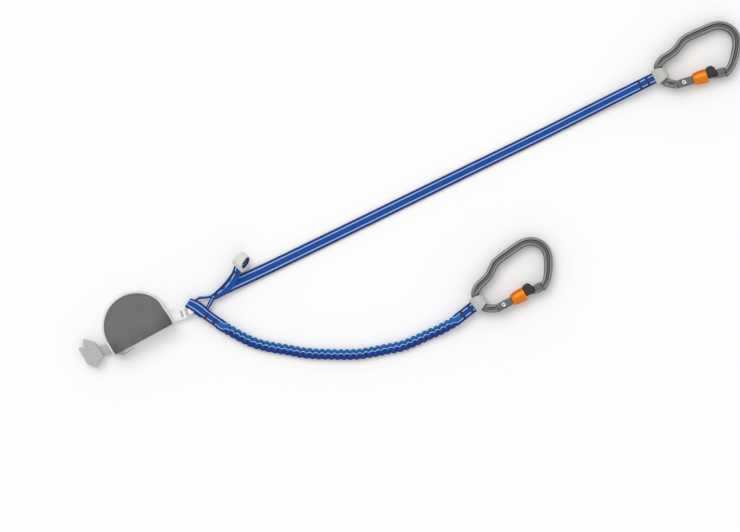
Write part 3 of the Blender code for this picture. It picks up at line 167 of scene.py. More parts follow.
# The strand round the link's bend in the link's own frame: x, y and width, at one level
STRAND_LEVEL = 5.95
STRAND_ROUTE = [
    (25.0, 6.4, 4.4), (19.7, 4.0, 4.8), (14.8, -0.3, 4.8), (11.1, -3.2, 4.0), (7.0, -5.1, 2.9),
    (2.4, -5.7, 2.3), (-2.2, -5.0, 2.2), (-5.6, -1.4, 2.3), (-5.6, 2.8, 2.4), (-3.0, 6.4, 2.8),
    (1.2, 9.0, 3.2), (5.8, 10.2, 3.2), (10.6, 9.0, 3.2), (16.6, 7.7, 3.4), (22.0, 7.6, 4.0),
    (27.0, 8.0, 4.6)]
# The lower arm's inner loop in its own frame: x, y, z and half width, from its upper tail
INNER_ROUTE = [
    (32.5, 0.0, 0.8, 6.0), (22.6, 0.1, 0.85, 6.0), (15.2, 0.3, 1.0, 6.1), (12.8, 0.4, 2.2, 6.2),
    (10.4, 0.6, 3.2, 6.4), (5.0, 1.1, 3.5, 6.8), (-1.0, 1.2, 3.6, 6.8), (-7.0, 0.6, 3.4, 6.2),
    (-9.9, 0.1, 2.8, 5.8), (-11.1, -0.2, 1.5, 5.6), (-11.4, -1.2, 0.0, 4.9),
    (-11.1, -2.4, -1.5, 4.1), (-9.9, -3.4, -2.8, 3.4), (-8.0, -3.7, -3.35, 3.2),
    (1.0, -3.8, -3.35, 3.2), (8.0, -3.6, -3.35, 3.3), (10.4, -2.0, -3.2, 4.4),
    (12.8, -0.6, -2.2, 5.6), (15.2, 0.0, -1.0, 6.0), (22.6, 0.0, -0.85, 6.0),
    (32.5, 0.0, -0.8, 6.0)]
# The rolled strap from the joint to the rest loop: place, level, width and thickness
ROLLED_ROUTE = [
    (-229.3, -120.6, 6.4, 6.2, 2.8), (-221.7, -115.7, 7.2, 9.4, 4.4),
    (-214.6, -110.2, 8.0, 10.8, 4.8), (-208.2, -103.0, 8.6, 10.9, 4.6),
    (-204.5, -97.7, 9.1, 10.8, 4.2), (-201.6, -92.6, 9.8, 10.4, 3.8)]
# The webbing's tail under it, sewn in: place, level, width and thickness
JOINT_ROUTE = [
    (-222.5, -116.9, 5.9, 7.0, 3.0), (-215.0, -111.8, 5.9, 10.0, 4.0),
    (-210.0, -108.2, 5.9, 12.2, 3.8), (-205.4, -104.9, 5.9, 14.0, 3.0),
    (-202.6, -103.5, 5.8, 14.3, 1.2)]


# Colour and nodes

def linear(colour):
    """A written sRGB hex colour as the linear values that a shader takes."""
    values = [int(colour[i:i + 2], 16) / 255 for i in (0, 2, 4)]
    return [v / 12.92 if v <= 0.04045 else ((v + 0.055) / 1.055) ** 2.4 for v in values] + [1.0]


def add(tree, kind, inputs=(), ramp=(), **settings):
    """Adds one node. Inputs are given by name or in their order: linked to another node or
    socket, or set to a value. A MapRange has its value, the range it comes from and the range
    it goes to."""
    made = tree.nodes.new("ShaderNode" + kind)
    for name, value in settings.items():
        setattr(made, name, value)
    for socket, value in inputs.items() if isinstance(inputs, dict) else enumerate(inputs):
        if isinstance(value, bpy.types.Node):
            value = value.outputs[0]
        if isinstance(value, bpy.types.NodeSocket):
            tree.links.new(value, made.inputs[socket])
        else:
            made.inputs[socket].default_value = value
    if ramp:
        marks = made.color_ramp.elements
        while len(marks) < len(ramp):
            marks.new(0.5)
        for mark, (spot, colour) in zip(marks, ramp):
            mark.position = spot
            mark.color = linear(colour)
    return made


def finish(name, colour, roughness, **sockets):
    """A material with its shader's constant values set on the shader itself."""
    made = bpy.data.materials.new(name)
    made.use_nodes = True
    shader = made.node_tree.nodes["Principled BSDF"]
    shader.inputs["Base Color"].default_value = linear(colour)
    shader.inputs["Roughness"].default_value = roughness
    for socket, value in sockets.items():
        shader.inputs[socket.replace("_", " ").title().replace("Ior", "IOR")].default_value = value
    return made, made.node_tree, shader


def texture(tree, shader, tone, light, height, depth):
    """Gives the shader its tone, lighter and darker with a pattern, and the pattern's relief."""
    shaded = add(tree, "Mix", {"Factor": 1.0, 6: tone, 7: light}, data_type="RGBA",
                 blend_type="MULTIPLY")
    relief = add(tree, "Bump", {"Height": height, "Distance": depth * MM, "Strength": 1.0})
    tree.links.new(shaded.outputs[2], shader.inputs["Base Color"])
    tree.links.new(relief.outputs[0], shader.inputs["Normal"])


# Finishes, whose sizes are in millimetres

def woven(name, bands, rib, pick, depth, streak, roughness=0.78, crease=False):
    """Woven tape: lengthwise ribs crossed by picks, coloured in bands from the middle to the
    edge, with streaks where the warp's tension varies. A crease gets painted shade."""
    made, tree, shader = finish(name, bands[0][1], roughness, sheen_weight=0.04,
                                sheen_roughness=0.5, specular_ior_level=0.2)
    spot = add(tree, "SeparateXYZ", (add(tree, "Attribute", attribute_name="weave"),))
    along, across, share = spot.outputs
    wide = add(tree, "Math", (across, math.tau / (rib * MM)), operation="MULTIPLY")
    ribs = add(tree, "Math", (wide,), operation="SINE")
    long = add(tree, "Math", (along, math.tau / (pick * MM)), operation="MULTIPLY")
    # The picks of neighbouring ribs lie half a pick apart.
    half_turn = add(tree, "Math", (ribs, math.pi / 2, long), operation="MULTIPLY_ADD")
    picks = add(tree, "Math", (half_turn,), operation="SINE")
    weave = add(tree, "Math", (ribs, picks), operation="ADD")
    threads = add(tree, "MapRange", (weave, -2.0, 2.0, 0.86, 1.08))
    side = add(tree, "Math", (share,), operation="ABSOLUTE")
    tone = add(tree, "ValToRGB", {"Fac": side}, ramp=bands)
    # The streaks are about 17 mm long and 1.4 mm wide, and lie between the stripes.
    stretch = add(tree, "CombineXYZ", (along, across))
    stretch = add(tree, "VectorMath", (stretch, (60.0, 700.0, 1.0)), operation="MULTIPLY")
    uneven = add(tree, "TexNoise", {"Vector": stretch, "Scale": 1.0, "Detail": 3.0})
    lively = add(tree, "MapRange", (uneven, 0.45, 0.72))
    inner = add(tree, "MapRange", (side, 0.5, 0.44))
    amount = add(tree, "Math", (lively, inner), operation="MULTIPLY")
    tone = add(tree, "Mix", {"Factor": amount, 6: tone, 7: linear(streak)},
               data_type="RGBA").outputs[2]
    if crease:
        # Painted shade: the crease attribute darkens the colour in the creases, to 42 percent in
        # the deepest.
        deep = add(tree, "Attribute", attribute_name="crease").outputs["Fac"]
        painted_shade = add(tree, "MapRange", (deep, 0.35, 1.0, 1.0, 0.42))
        tone = add(tree, "Mix", {"Factor": 1.0, 6: tone, 7: painted_shade}, data_type="RGBA",
                   blend_type="MULTIPLY").outputs[2]
    texture(tree, shader, tone, threads, weave, depth)
    return made


def cloth(name, colour, dark, pitch, depth, roughness, upright=False, marks=()):
    """Plain-woven cloth on a lying panel or an upright wall, with painted shade round given spots.
    """
    made, tree, shader = finish(name, colour, roughness, sheen_weight=0.1, specular_ior_level=0.3)
    spot = add(tree, "TexCoord").outputs["Object"]
    turned = add(tree, "Mapping", {"Vector": spot,
                                   "Rotation": (0.0, 0.0, math.radians(-POUCH_TURN))})
    waves = []
    for socket in add(tree, "SeparateXYZ", (turned,)).outputs:
        scaled = add(tree, "Math", (socket, math.tau / (pitch * MM)), operation="MULTIPLY")
        waves.append(add(tree, "Math", (scaled,), operation="SINE"))
    weave = add(tree, "Math", (waves[0], waves[1]),
                operation="ADD" if upright else "MULTIPLY")
    if upright:
        weave = add(tree, "Math", (weave, waves[2]), operation="MULTIPLY")
    threads = add(tree, "MapRange", (weave, -1.5, 1.5, 0.93, 1.05))
    # Wear lies in patches of about 18 mm, and crumples, which make the painted shade's edge uneven,
    # are about 7 mm wide.
    patches = add(tree, "TexNoise", {"Vector": spot, "Scale": 55.0, "Detail": 4.0})
    worn = add(tree, "MapRange", (patches, 0.25, 0.8))
    tone = add(tree, "Mix", {"Factor": worn, 6: linear(dark), 7: linear(colour)},
               data_type="RGBA").outputs[2]
    crumple = add(tree, "TexNoise", {"Vector": spot, "Scale": 140.0, "Detail": 3.0})
    # Each mark paints shade: darker towards its centre, down to its factor, out to its reach in
    # millimetres.
    for centre, reach, painted_shade in marks:
        away = add(tree, "VectorMath", (spot, centre), operation="DISTANCE")
        uneven = add(tree, "Math", (crumple, 6.0 * MM, away.outputs["Value"]),
                     operation="MULTIPLY_ADD")
        shade = add(tree, "MapRange", (uneven, 3.0 * MM, reach * MM, painted_shade, 1.0),
                    interpolation_type="SMOOTHSTEP")
        tone = add(tree, "Mix", {"Factor": 1.0, 6: tone, 7: shade}, data_type="RGBA",
                   blend_type="MULTIPLY").outputs[2]
    texture(tree, shader, tone, threads, weave, depth)
    return made


def metal(name, hollow_shade, colour, worn, grain, depth, roughness, metallic=1.0, flank_shade=None):
    """Metal with a fine grain, with painted shade in its hollows and on its flanks, and lighter on
    convex edges, partly with wear and partly as painted highlight.
    """
    made, tree, shader = finish(name, colour, roughness, metallic=metallic)
    spot = add(tree, "TexCoord").outputs["Object"]
    speckle = add(tree, "TexNoise", {"Vector": spot, "Scale": 1.0 / (grain * MM), "Detail": 3.0})
    edges = add(tree, "NewGeometry").outputs["Pointiness"]
    # Painted shade in the hollows; the convex edges' lighter colour is partly wear and partly
    # painted highlight.
    tone = add(tree, "ValToRGB", {"Fac": edges}, ramp=[
        (0.44, hollow_shade), (0.49, colour), (0.51, colour), (0.56, worn)])
    # Painted shade: faces that turn sideways take the darker flank colour.
    if flank_shade:
        facing = add(tree, "SeparateXYZ", (add(tree, "TexCoord").outputs["Normal"],))
        facing = add(tree, "Math", (facing.outputs[2],), operation="ABSOLUTE")
        lit_share = add(tree, "MapRange", (facing, 0.1, 0.6))
        tone = add(tree, "Mix", {"Factor": lit_share, 6: linear(flank_shade), 7: tone},
                   data_type="RGBA").outputs[2]
    light = add(tree, "MapRange", (speckle, 0.3, 0.7, 0.9, 1.08))
    texture(tree, shader, tone, light, speckle, depth)
    satin = add(tree, "MapRange", (speckle, 0.3, 0.7, roughness - 0.06, roughness + 0.06))
    tree.links.new(satin.outputs[0], shader.inputs["Roughness"])
    return made


def moulded(name, colour, grain, depth, roughness):
    """An even colour under a fine grain, as on moulded elastomer or nylon and on thread."""
    made, tree, shader = finish(name, colour, roughness)
    spot = add(tree, "TexCoord").outputs["Object"]
    speckle = add(tree, "TexNoise", {"Vector": spot, "Scale": 1.0 / (grain * MM), "Detail": 2.0})
    # Clouds of about 8 mm take the evenness off the colour.
    cloudy = add(tree, "TexNoise", {"Vector": spot, "Scale": 120.0, "Detail": 2.0})
    both = add(tree, "Math", (speckle, cloudy), operation="ADD")
    light = add(tree, "MapRange", (both, 0.7, 1.3, 0.94, 1.05))
    texture(tree, shader, linear(colour), light, speckle, depth)
    return made


def on_pouch(x, y):
    """A spot on the pouch's front, from its own plan in millimetres."""
    turn = math.radians(POUCH_TURN)
    return (POUCH_AT[0] + (x * math.cos(turn) - y * math.sin(turn)) * MM,
            POUCH_AT[1] + (x * math.sin(turn) + y * math.cos(turn)) * MM, MARK_LEVEL)


# Woven polyamide tape: matt, ribbed, blue with two pale stripes and darker selvedges. Real
# picks are about 0.5 mm apart; they are drawn 1.6 mm apart, so that they show.
BLUE_BANDS = [
    (0.0, "1A4B9A"), (0.425, "194796"), (0.455, "B4CFFF"), (0.57, "C0D9FF"), (0.60, "1F428E"),
    (0.86, "213F88"), (1.0, "1C2F6C")]
blue_webbing = woven("woven_blue_polyamide", BLUE_BANDS, 1.3, 1.6, 0.08, "1A5EAC")
# The same tape drawn up: its middle shows more of the lighter warp, and its creases carry painted
# shade.
CRIMP_BANDS = [
    (0.0, "246CAE"), (0.22, "1C5CA6"), (0.43, "184AA0"), (0.455, "AECBFF"), (0.56, "BAD5FF"),
    (0.59, "16459E"), (0.80, "184296"), (0.95, "203882")]
crimped_webbing = woven("woven_crimped_polyamide", CRIMP_BANDS, 1.2, 1.5, 0.10,
                        "2A78B4", crease=True)
# Woven polyester tape: matt light grey, with even ribs.
grey_webbing = woven("woven_grey_polyester", [(0.0, "BEBEBE"), (1.0, "A8A8A8")],
                     0.8, 0.9, 0.04, "C8C8C8")
# Woven high-modulus polyethylene tape: white and slightly waxy.
white_webbing = woven("woven_white_polyethylene", [(0.0, "FEFEFC"), (1.0, "F4F4F2")],
                      0.9, 1.0, 0.025, "FFFFFF", 0.6)
# Bonded polyamide sewing thread, with a dull gloss: dark blue in the arms' bar tacks, taupe in
# the link's and grey in the pouch's seam.
dark_thread = moulded("bonded_dark_thread", "222C40", 0.4, 0.03, 0.6)
pale_thread = moulded("bonded_taupe_thread", "C4BCB6", 0.4, 0.03, 0.6)
grey_thread = moulded("bonded_grey_thread", "4E4E50", 0.4, 0.03, 0.6)
# Coated polyester cloth: dark grey and matt, with painted shade along the zip and in the corners.
# Its threads are drawn 1.1 mm apart, so that they show.
POUCH_PAINTED_SHADE = [
    (on_pouch(38, 1), 27.0, 0.60), (on_pouch(22, 0), 17.0, 0.86), (on_pouch(5, 1), 13.0, 0.80),
    (on_pouch(-12, 1), 14.0, 0.84), (on_pouch(-34, 5), 20.0, 0.66)]
pouch_cloth = cloth("coated_grey_polyester_cloth", "717171", "6D6D6D", 1.1, 0.04, 0.85,
                    marks=POUCH_PAINTED_SHADE)
# Uncoated polyester cloth: pale grey and matt, its threads drawn 1 mm apart.
gusset_cloth = cloth("pale_polyester_cloth", "DCDCDC", "D4D4D4", 1.0, 0.03, 0.85, upright=True)
# Knitted polyester binding: pale and soft.
binding = cloth("knitted_pale_binding", "E6E6E6", "DCDCDC", 0.9, 0.04, 0.9)
# Woven polyester zip tape: flat and grey.
zip_cloth = cloth("woven_zip_tape", "BABABA", "B2B2B2", 0.9, 0.03, 0.85, upright=True)
# Injection-moulded polyamide zip teeth: grey, with a low gloss.
zip_polyamide = moulded("moulded_zip_polyamide", "A4A4A2", 0.5, 0.02, 0.4)
# Zinc die casting with a satin nickel plating: half-gloss, with painted shade in its hollows and
# lighter on its edges, partly with wear and partly as painted highlight.
slider_zinc = metal("plated_zinc_casting", "5C5C5A", "9A9A98", "D0D0CC", 0.5, 0.02, 0.36)
# Thermoplastic elastomer: pale grey and matt, with a fine moulded grain. The rest loop's is paler.
elastomer = moulded("moulded_grey_elastomer", "C2C0BC", 0.6, 0.03, 0.62)
pale_elastomer = moulded("moulded_pale_elastomer", "D6D6D3", 0.6, 0.03, 0.62)
# Hot-forged aluminium alloy, tumbled and anodised grey: a satin gloss with a fine grain.
# Painted shade darkens its hollows and its flanks; its convex edges are lighter, partly with wear
# and partly as painted highlight.
forged_alloy = metal("forged_anodised_aluminium", "262625", "656564", "BABAB8", 0.8, 0.03, 0.42,
                     flank_shade="464644")
# Turned stainless steel: bright, with a fine uneven polish.
# Its hollows carry painted shade, and its convex edges are lighter, partly with wear and partly as
# painted highlight.
turned_steel = metal("turned_stainless_steel", "6A6866", "A09E9A", "CCCAC6", 0.3, 0.01, 0.28)
# Drawn spring steel wire: darker and smooth.
# Its hollows carry painted shade, and its convex edges are lighter, partly with wear and partly as
# painted highlight.
spring_steel = metal("drawn_spring_steel", "7A7874", "9A9894", "C0BEBA", 0.3, 0.01, 0.32)
# Turned aluminium, anodised orange: the dye colours the metal's own reflection.
# Its hollows carry painted shade, and its convex edges are lighter, partly with wear and partly as
# painted highlight.
orange_alloy = metal("orange_anodised_aluminium", "B85404", "D97808", "EE961C", 0.6, 0.02,
                     0.42, 0.6)
# Glass-filled nylon: black and matt, with a fine moulded grain.
black_nylon = moulded("moulded_black_nylon", "14110D", 0.5, 0.04, 0.55)
# Knitted elastic with dark rubber: matt.
dark_elastic = moulded("knitted_dark_elastic", "23344E", 0.8, 0.08, 0.85)


# Lines and frames

def tilt(degrees, axis):
    return Matrix.Rotation(math.radians(degrees), 4, axis)


def plan_frame(at, degrees, level=0.0):
    return Matrix.Translation((at[0], at[1], level)) @ tilt(degrees, "Z")


def carabiner_place(side):
    at, turn = CARABINERS[side]
    return plan_frame(at, turn, at[2]) @ tilt(*CARABINER_LIE[0]) @ tilt(*CARABINER_LIE[1])


def stub_place():
    place = Matrix.Translation(STUB_AT)
    for turn in STUB_TILTS:
        place = place @ tilt(*turn)
    return place


def ease(value, low, high):
    """A smooth rise from 0 at the low value to 1 at the high one."""
    share = min(1.0, max(0.0, (value - low) / (high - low)))
    return share * share * (3 - 2 * share)


def arc(radius, start, end, steps):
    turns = [math.radians(start + (end - start) * i / steps) for i in range(steps + 1)]
    return [(radius * math.cos(t), radius * math.sin(t)) for t in turns]


def section(count, power):
    """Points round a flat strap's section, from -1 to 1: squarer with a higher power."""
    result = []
    for i in range(count):
        turn = math.tau * i / count
        a, b = math.cos(turn), math.sin(turn)
        result.append((math.copysign(abs(a) ** (2 / power), a),
                       math.copysign(abs(b) ** (2 / power), b)))
    return result


def curve_through(points, steps):
    """A smooth curve through the points, which may hold any number of values."""
    ends = [[2 * a - b for a, b in zip(points[0], points[1])]] + [list(p) for p in points]
    ends.append([2 * a - b for a, b in zip(points[-1], points[-2])])
    result = []
    for i in range(1, len(ends) - 2):
        p0, p1, p2, p3 = ends[i - 1:i + 3]
        for k in range(steps):
            t = k / steps
            result.append([0.5 * (2 * b + (c - a) * t + (2 * a - 5 * b + 4 * c - d) * t * t
                                  + (3 * b - a - 3 * c + d) * t ** 3)
                           for a, b, c, d in zip(p0, p1, p2, p3)])
    result.append(list(points[-1]))
    return result


def at_even_steps(points, step=STEP, fine=16):
    """The curve's values at even steps of its first three, ends included."""
    curve = curve_through(points, fine)
    reach = [0.0]
    for a, b in zip(curve, curve[1:]):
        reach.append(reach[-1] + math.dist(a[:3], b[:3]))
    count = max(2, round(reach[-1] / step) + 1)
    result = []
    spot = 0
    for i in range(count):
        goal = reach[-1] * i / (count - 1)
        while spot < len(curve) - 2 and reach[spot + 1] < goal:
            spot += 1
        share = (goal - reach[spot]) / (reach[spot + 1] - reach[spot])
        result.append([a + (b - a) * share for a, b in zip(curve[spot], curve[spot + 1])])
    return result


def in_metres(route):
    return [[value * MM for value in row] for row in route]


# Meshes

SHARP = math.radians(30)


@contextmanager
def reshaped(mesh):
    """The mesh opened for editing, and written back at the end."""
    shape = bmesh.new()
    shape.from_mesh(mesh)
    yield shape
    shape.to_mesh(mesh)
    shape.free()


def new_object(name, data):
    made = bpy.data.objects.new(name, data)
    bpy.context.scene.collection.objects.link(made)
    return made


def mesh_of(name, points, faces):
    mesh = bpy.data.meshes.new(name)
    mesh.from_pydata([tuple(p) for p in points], [], faces)
    return mesh


def make_piece(name, mesh, look, body, node=None, smooth=60):
    """One piece of the lanyard, which rides on its body and may stand for a solid of the frame."""
    piece = new_object(name, mesh)
    mesh.materials.append(look)
    mesh.shade_smooth()
    mesh.set_sharp_from_angle(angle=math.radians(smooth))
    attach(piece, body)
    if node:
        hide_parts(node)
    return piece


def ring_faces(rings, base=0, closed=False):
    """Faces between neighbouring rings, whose points are numbered from base, and over the first
    and last ring unless the rings close on themselves."""
    count = len(rings[0])
    starts = [base + r * count for r in range(len(rings))]
    faces = [(low + i, low + (i + 1) % count, high + (i + 1) % count, high + i)
             for low, high in zip(starts, starts[1:] + starts[:1] * closed)
             for i in range(count)]
    if not closed:
        faces += [tuple(range(base, base + count))[::-1],
                  tuple(range(starts[-1], starts[-1] + count))]
    return faces


def solids(name, rows):
    """One mesh of several closed solids, each given as its row of rings."""
    points = []
    faces = []
    for rings in rows:
        faces += ring_faces(rings, len(points))
        points += [p for ring in rings for p in ring]
    return mesh_of(name, points, faces)


def skin(name, rings, weave=None, closed=False):
    """Joins rings of equal count to one skin. The weave is a mark for each of its points: the
    reach along the strap, the place across it and the share of its width."""
    mesh = mesh_of(name, [p for ring in rings for p in ring], ring_faces(rings, 0, closed))
    if weave:
        marks = mesh.attributes.new("weave", "FLOAT_VECTOR", "POINT")
        marks.data.foreach_set("vector", [v for mark in weave for v in mark])
    with reshaped(mesh) as shape:
        bmesh.ops.recalc_face_normals(shape, faces=shape.faces)
    return mesh


def modified(mesh, *modifiers):
    """The mesh as the modifiers leave it, without its looks."""
    piece = new_object("working_form", mesh)
    for kind, settings in modifiers:
        modifier = piece.modifiers.new(kind.lower(), kind)
        for name, value in settings.items():
            setattr(modifier, name, value)
    graph = bpy.context.evaluated_depsgraph_get()
    result = bpy.data.meshes.new_from_object(piece.evaluated_get(graph))
    bpy.data.objects.remove(piece)
    result.materials.clear()
    return result


def worn_soft(mesh, voxel, rounds, wrinkle=0.0):
    """The mesh's form with its edges worn soft and its surface slightly uneven, at steps of
    about 4 mm."""
    result = modified(mesh, ("REMESH", {"mode": "VOXEL", "voxel_size": voxel}),
                      ("SMOOTH", {"factor": 0.5, "iterations": rounds}))
    for point in result.vertices:
        point.co += point.normal * wrinkle * noise.noise(point.co / (4.0 * MM))
    return result


def refined(name, node, look, body, edge):
    """A finer copy of a hard part: its bends run smooth, and the edge's crease from 0 to 1
    keeps the sharper ones crisp."""
    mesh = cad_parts[node].data.copy()
    with reshaped(mesh) as shape:
        bmesh.ops.remove_doubles(shape, verts=shape.verts, dist=0.001 * MM)
        bmesh.ops.join_triangles(shape, faces=shape.faces, angle_face_threshold=math.radians(25),
                                 angle_shape_threshold=math.radians(60))
        marks = shape.edges.layers.float.new("crease_edge")
        for side in shape.edges:
            if len(side.link_faces) == 2 and side.calc_face_angle() > SHARP:
                side[marks] = edge
    mesh = modified(mesh, ("SUBSURF", {"levels": 2, "render_levels": 2}))
    return make_piece(name, mesh, look, body, node, 50)


# Straps and thread

def lay_strap(rows, halves, plies, place=Matrix(), folded=False, sides=None):
    """A strap's course through the rows: its points, its directions across and up, and its
    reach. Half widths and plies are one value, or a list. A folded strap bends about its
    place's Y; another one lies level, or takes the sides given."""
    line = [place @ Vector(row[:3]) for row in rows]
    halves, plies = (v if isinstance(v, list) else [v] * len(line) for v in (halves, plies))
    if folded:
        sides = [place.to_3x3() @ Vector((0.0, 1.0, 0.0))] * len(line)
    course = SimpleNamespace(line=line, half=halves, ply=plies, across=[], up=[], reach=[0.0],
                             face=1)
    for i, point in enumerate(line):
        ahead = (line[min(i + 1, len(line) - 1)] - line[max(i - 1, 0)]).normalized()
        across = sides[i] if sides else Vector((-ahead.y, ahead.x, 0.0))
        across = (across - ahead * across.dot(ahead)).normalized()
        course.across.append(across)
        course.up.append(ahead.cross(across))
        if i:
            course.reach.append(course.reach[-1] + (point - line[i - 1]).length)
    return course


def thin_ends(course, length):
    """Thins both ends of a strap, where they are sewn flat on another strap."""
    total = course.reach[-1]
    for i, reach in enumerate(course.reach):
        course.ply[i] *= min(1.0, 0.15 + reach / length, 0.15 + (total - reach) / length)


def sew_strap(name, course, look, body, node=None, count=24, power=5.0,
              selvedge=0.06 * MM, shares=None):
    """The strap's skin along its course, with a serrated selvedge. The shares stretch and shift
    the stripes across the strap, at each of its points."""
    rings = []
    weave = []
    outline = section(count, power)
    for i, point in enumerate(course.line):
        half = course.half[i] + (selvedge if i % 2 else -selvedge)
        wide, thick = course.across[i] * half, course.up[i] * course.ply[i] / 2
        rings.append([point + wide * y + thick * z for y, z in outline])
        scale, shift = shares[i] if shares else (1.0, 0.0)
        weave += [(course.reach[i], y * half, y * scale + shift) for y, z in outline]
    return make_piece(name, skin(name, rings, weave), look, body, node)


def on_strap(course, reach, across, lift):
    """A point on the strap's face, or on its other face where the course says so."""
    spot = 0
    while spot < len(course.line) - 2 and course.reach[spot + 1] < reach:
        spot += 1
    share = (reach - course.reach[spot]) / (course.reach[spot + 1] - course.reach[spot])
    point = course.line[spot].lerp(course.line[spot + 1], share)
    rise = course.ply[spot] / 2 + lift
    return point + course.across[spot] * across + course.up[spot] * rise * course.face


def thread_tube(points, radius, sides=6):
    """Rings of a thin thread through the points."""
    rings = []
    for i, point in enumerate(points):
        ahead = (points[min(i + 1, len(points) - 1)] - points[max(i - 1, 0)]).normalized()
        first = ahead.orthogonal().normalized()
        second = ahead.cross(first)
        size = radius * (0.5 if i in (0, len(points) - 1) else 1.0)
        rings.append([point + first * size * a + second * size * b
                      for a, b in arc(1.0, 0, 360 - 360 / sides, sides - 1)])
    return rings


def bar_tack(name, course, reach, width, length, look, body, rows=9, thread=TACK_THREAD,
             aside=0.0):
    """A dense zigzag of thread sewn to and fro across the strap."""
    points = []
    for i in range(rows * 2 + 1):
        across = aside + width / 2 * (1 if i % 2 else -1)
        points.append(on_strap(course, reach - length / 2 + length * i / (rows * 2), across,
                               thread * 0.3))
    rings = thread_tube([Vector(p) for p in at_even_steps(points, width / 5, 6)], thread)
    make_piece(name, skin(name, rings), look, body)


# Arms

def lay_upper_arm():
    line = at_even_steps(in_metres(UPPER_ROUTE))
    count = len(line) - 1
    start, end = UPPER_WIDTHS
    halves = [(start + (end - start) * i / count) / 2 for i in range(count + 1)]
    course = lay_strap(line, halves, ARM_PLY)
    strap = sew_strap("upper_webbing_strap", course, blue_webbing, "upper_arm",
                      "upper_webbing")


def crimp_swell(phase):
    """How far a crimp bulges, from 0 in the crease to 1 in its middle."""
    return abs(math.sin(math.pi * phase)) ** 0.6


def crimped_share(y, line, grown):
    """Where on the flat strap's width the point y of the rolled one lies: the stripe keeps its
    width at the line given, and what lies beside it is drawn together."""
    away = y - line
    near = min(abs(away), 0.15)
    slope = (0.7 if away > 0 else 0.35) * grown + 1 - grown
    return -STRIPE_SHARE + math.copysign(near + (abs(away) - near) * slope, away)


def lay_lower_arm():
    """Elastic webbing drawn up to crimps. It lies rolled a little: one stripe runs along its
    middle, and the bulges of both edges alternate."""
    line = at_even_steps(in_metres(LOWER_ROUTE), CRIMP_PITCH / 14)
    course = lay_strap(line, CRIMP_WIDTH / 2, CRIMP_HEIGHT)
    total = course.reach[-1]
    outline = section(32, 2.6)
    rings = []
    weave = []
    crease_shades = []
    for i, point in enumerate(course.line):
        reach = course.reach[i]
        inside = min(reach, total - reach)
        grown = ease(inside, CRIMP_LEAD * 0.3, CRIMP_LEAD * 1.15)
        number = math.floor((reach - CRIMP_LEAD) / CRIMP_PITCH)
        phase = (reach - CRIMP_LEAD) / CRIMP_PITCH - number
        # Each crimp's number makes it a little larger or smaller than the next one.
        uneven = 1 + 0.10 * noise.noise(Vector((number * 1.7, 0.3, 0.9)))
        # The stripe swings with the crimps, and runs straight at both flat ends.
        stripe = (0.32 * uneven * crimp_swell(phase) - 0.08) * grown - STRIPE_SHARE * (1 - grown)
        rise = ARM_PLY / 2 + (CRIMP_HEIGHT / 2 - ARM_PLY / 2) * grown
        ring = []
        for y, z in outline:
            upper = ease(y, -0.45, 0.35)
            swell = crimp_swell(phase + 0.5) * (1 - upper) + crimp_swell(phase) * upper
            crease = (1 - swell) * grown * uneven
            half = CRIMP_WIDTH / 2 * (1.02 - (0.26 + 0.16 * upper) * crease)
            lift = rise * (1 - 0.42 * crease) * z
            ring.append(point + course.across[i] * half * y + course.up[i] * lift)
            weave.append((reach, y * half, crimped_share(y, stripe, grown)))
            crease_shades.append(crease)
        rings.append(ring)
    mesh = skin("lower_webbing_strap", rings, weave)
    # The crease attribute tells the material where to paint shade in the creases.
    mesh.attributes.new("crease", "FLOAT", "POINT").data.foreach_set("value", crease_shades)
    strap = make_piece("lower_webbing_strap", mesh, crimped_webbing, "lower_arm",
                       "lower_webbing", 80)


def fold_line(radius, tail, sewn, open_to, gap):
    """Side line of a folded strap: from its tail along the top, round the bend and back."""
    top = [(tail, gap), ((tail + sewn) / 2, gap), (sewn, gap * 1.1),
           ((sewn + open_to) / 2, (gap + radius) / 2 * 1.06), (open_to, radius * 0.98)]
    return top + arc(radius, 90, -90, 8) + [(x, -z) for x, z in top[::-1]]


def webbing_loop(name, node, place, width, tail, body, ply=LOOP_PLY):
    """The arm's end folded round the rod and sewn to itself."""
    radius = LOOP_RADIUS + (LOOP_PLY - ply) / 2
    line = fold_line(radius, tail, max(LOOP_SEWN, tail * 0.8), LOOP_OPEN, ply / 2)
    rows = at_even_steps([(x, 0.0, z) for x, z in line])
    course = lay_strap(rows, width / 2, ply, place, True)
    thin_ends(course, LOOP_THINNED)
    sew_strap(name, course, blue_webbing, body, node)
    return course


def moulded_keeper(name, node, look, body):
    mesh = worn_soft(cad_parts[node].data.copy(), 0.45 * MM, 6)
    make_piece(name, mesh, look, body, node)


def lay_end_loops():
    for side, spots in (("upper", (-16.5, -26.6)), ("lower", (-12.8, -24.1))):
        arm = side + "_arm"
        course = webbing_loop(side + "_end_loop_strap", side + "_end_loop",
                              carabiner_place(side), LOOP_WIDTH, LOOP_TAIL, arm)
        for number, spot in enumerate(spots):
            bar_tack(f"{side}_end_tack_{number + 1}", course, spot * MM - LOOP_TAIL, 9.6 * MM,
                     2.6 * MM, dark_thread, arm)
        moulded_keeper(side + "_keeper_boot", side + "_keeper", elastomer, arm)


def lay_stub():
    """The rest loop's eye and its boot. Its strap comes rolled out of the sewn joint."""
    webbing_loop("stub_loop_strap", "stub_loop", stub_place(), STUB_WIDTH, STUB_TAIL,
                 "upper_arm", STUB_PLY)
    moulded_keeper("stub_keeper_boot", "stub_keeper", pale_elastomer, "upper_arm")
    low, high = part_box("stub_keeper")
    centre = (low + high) / 2
    wide, tall = STUB_STRETCH
    # Both are a little larger in plan than their solids.
    for name in ("stub_loop_strap", "stub_keeper_boot"):
        for point in bpy.data.objects[name].data.vertices:
            away = point.co - centre
            point.co = centre + Vector((away.x * wide + STUB_SHIFT, away.y * tall, away.z))


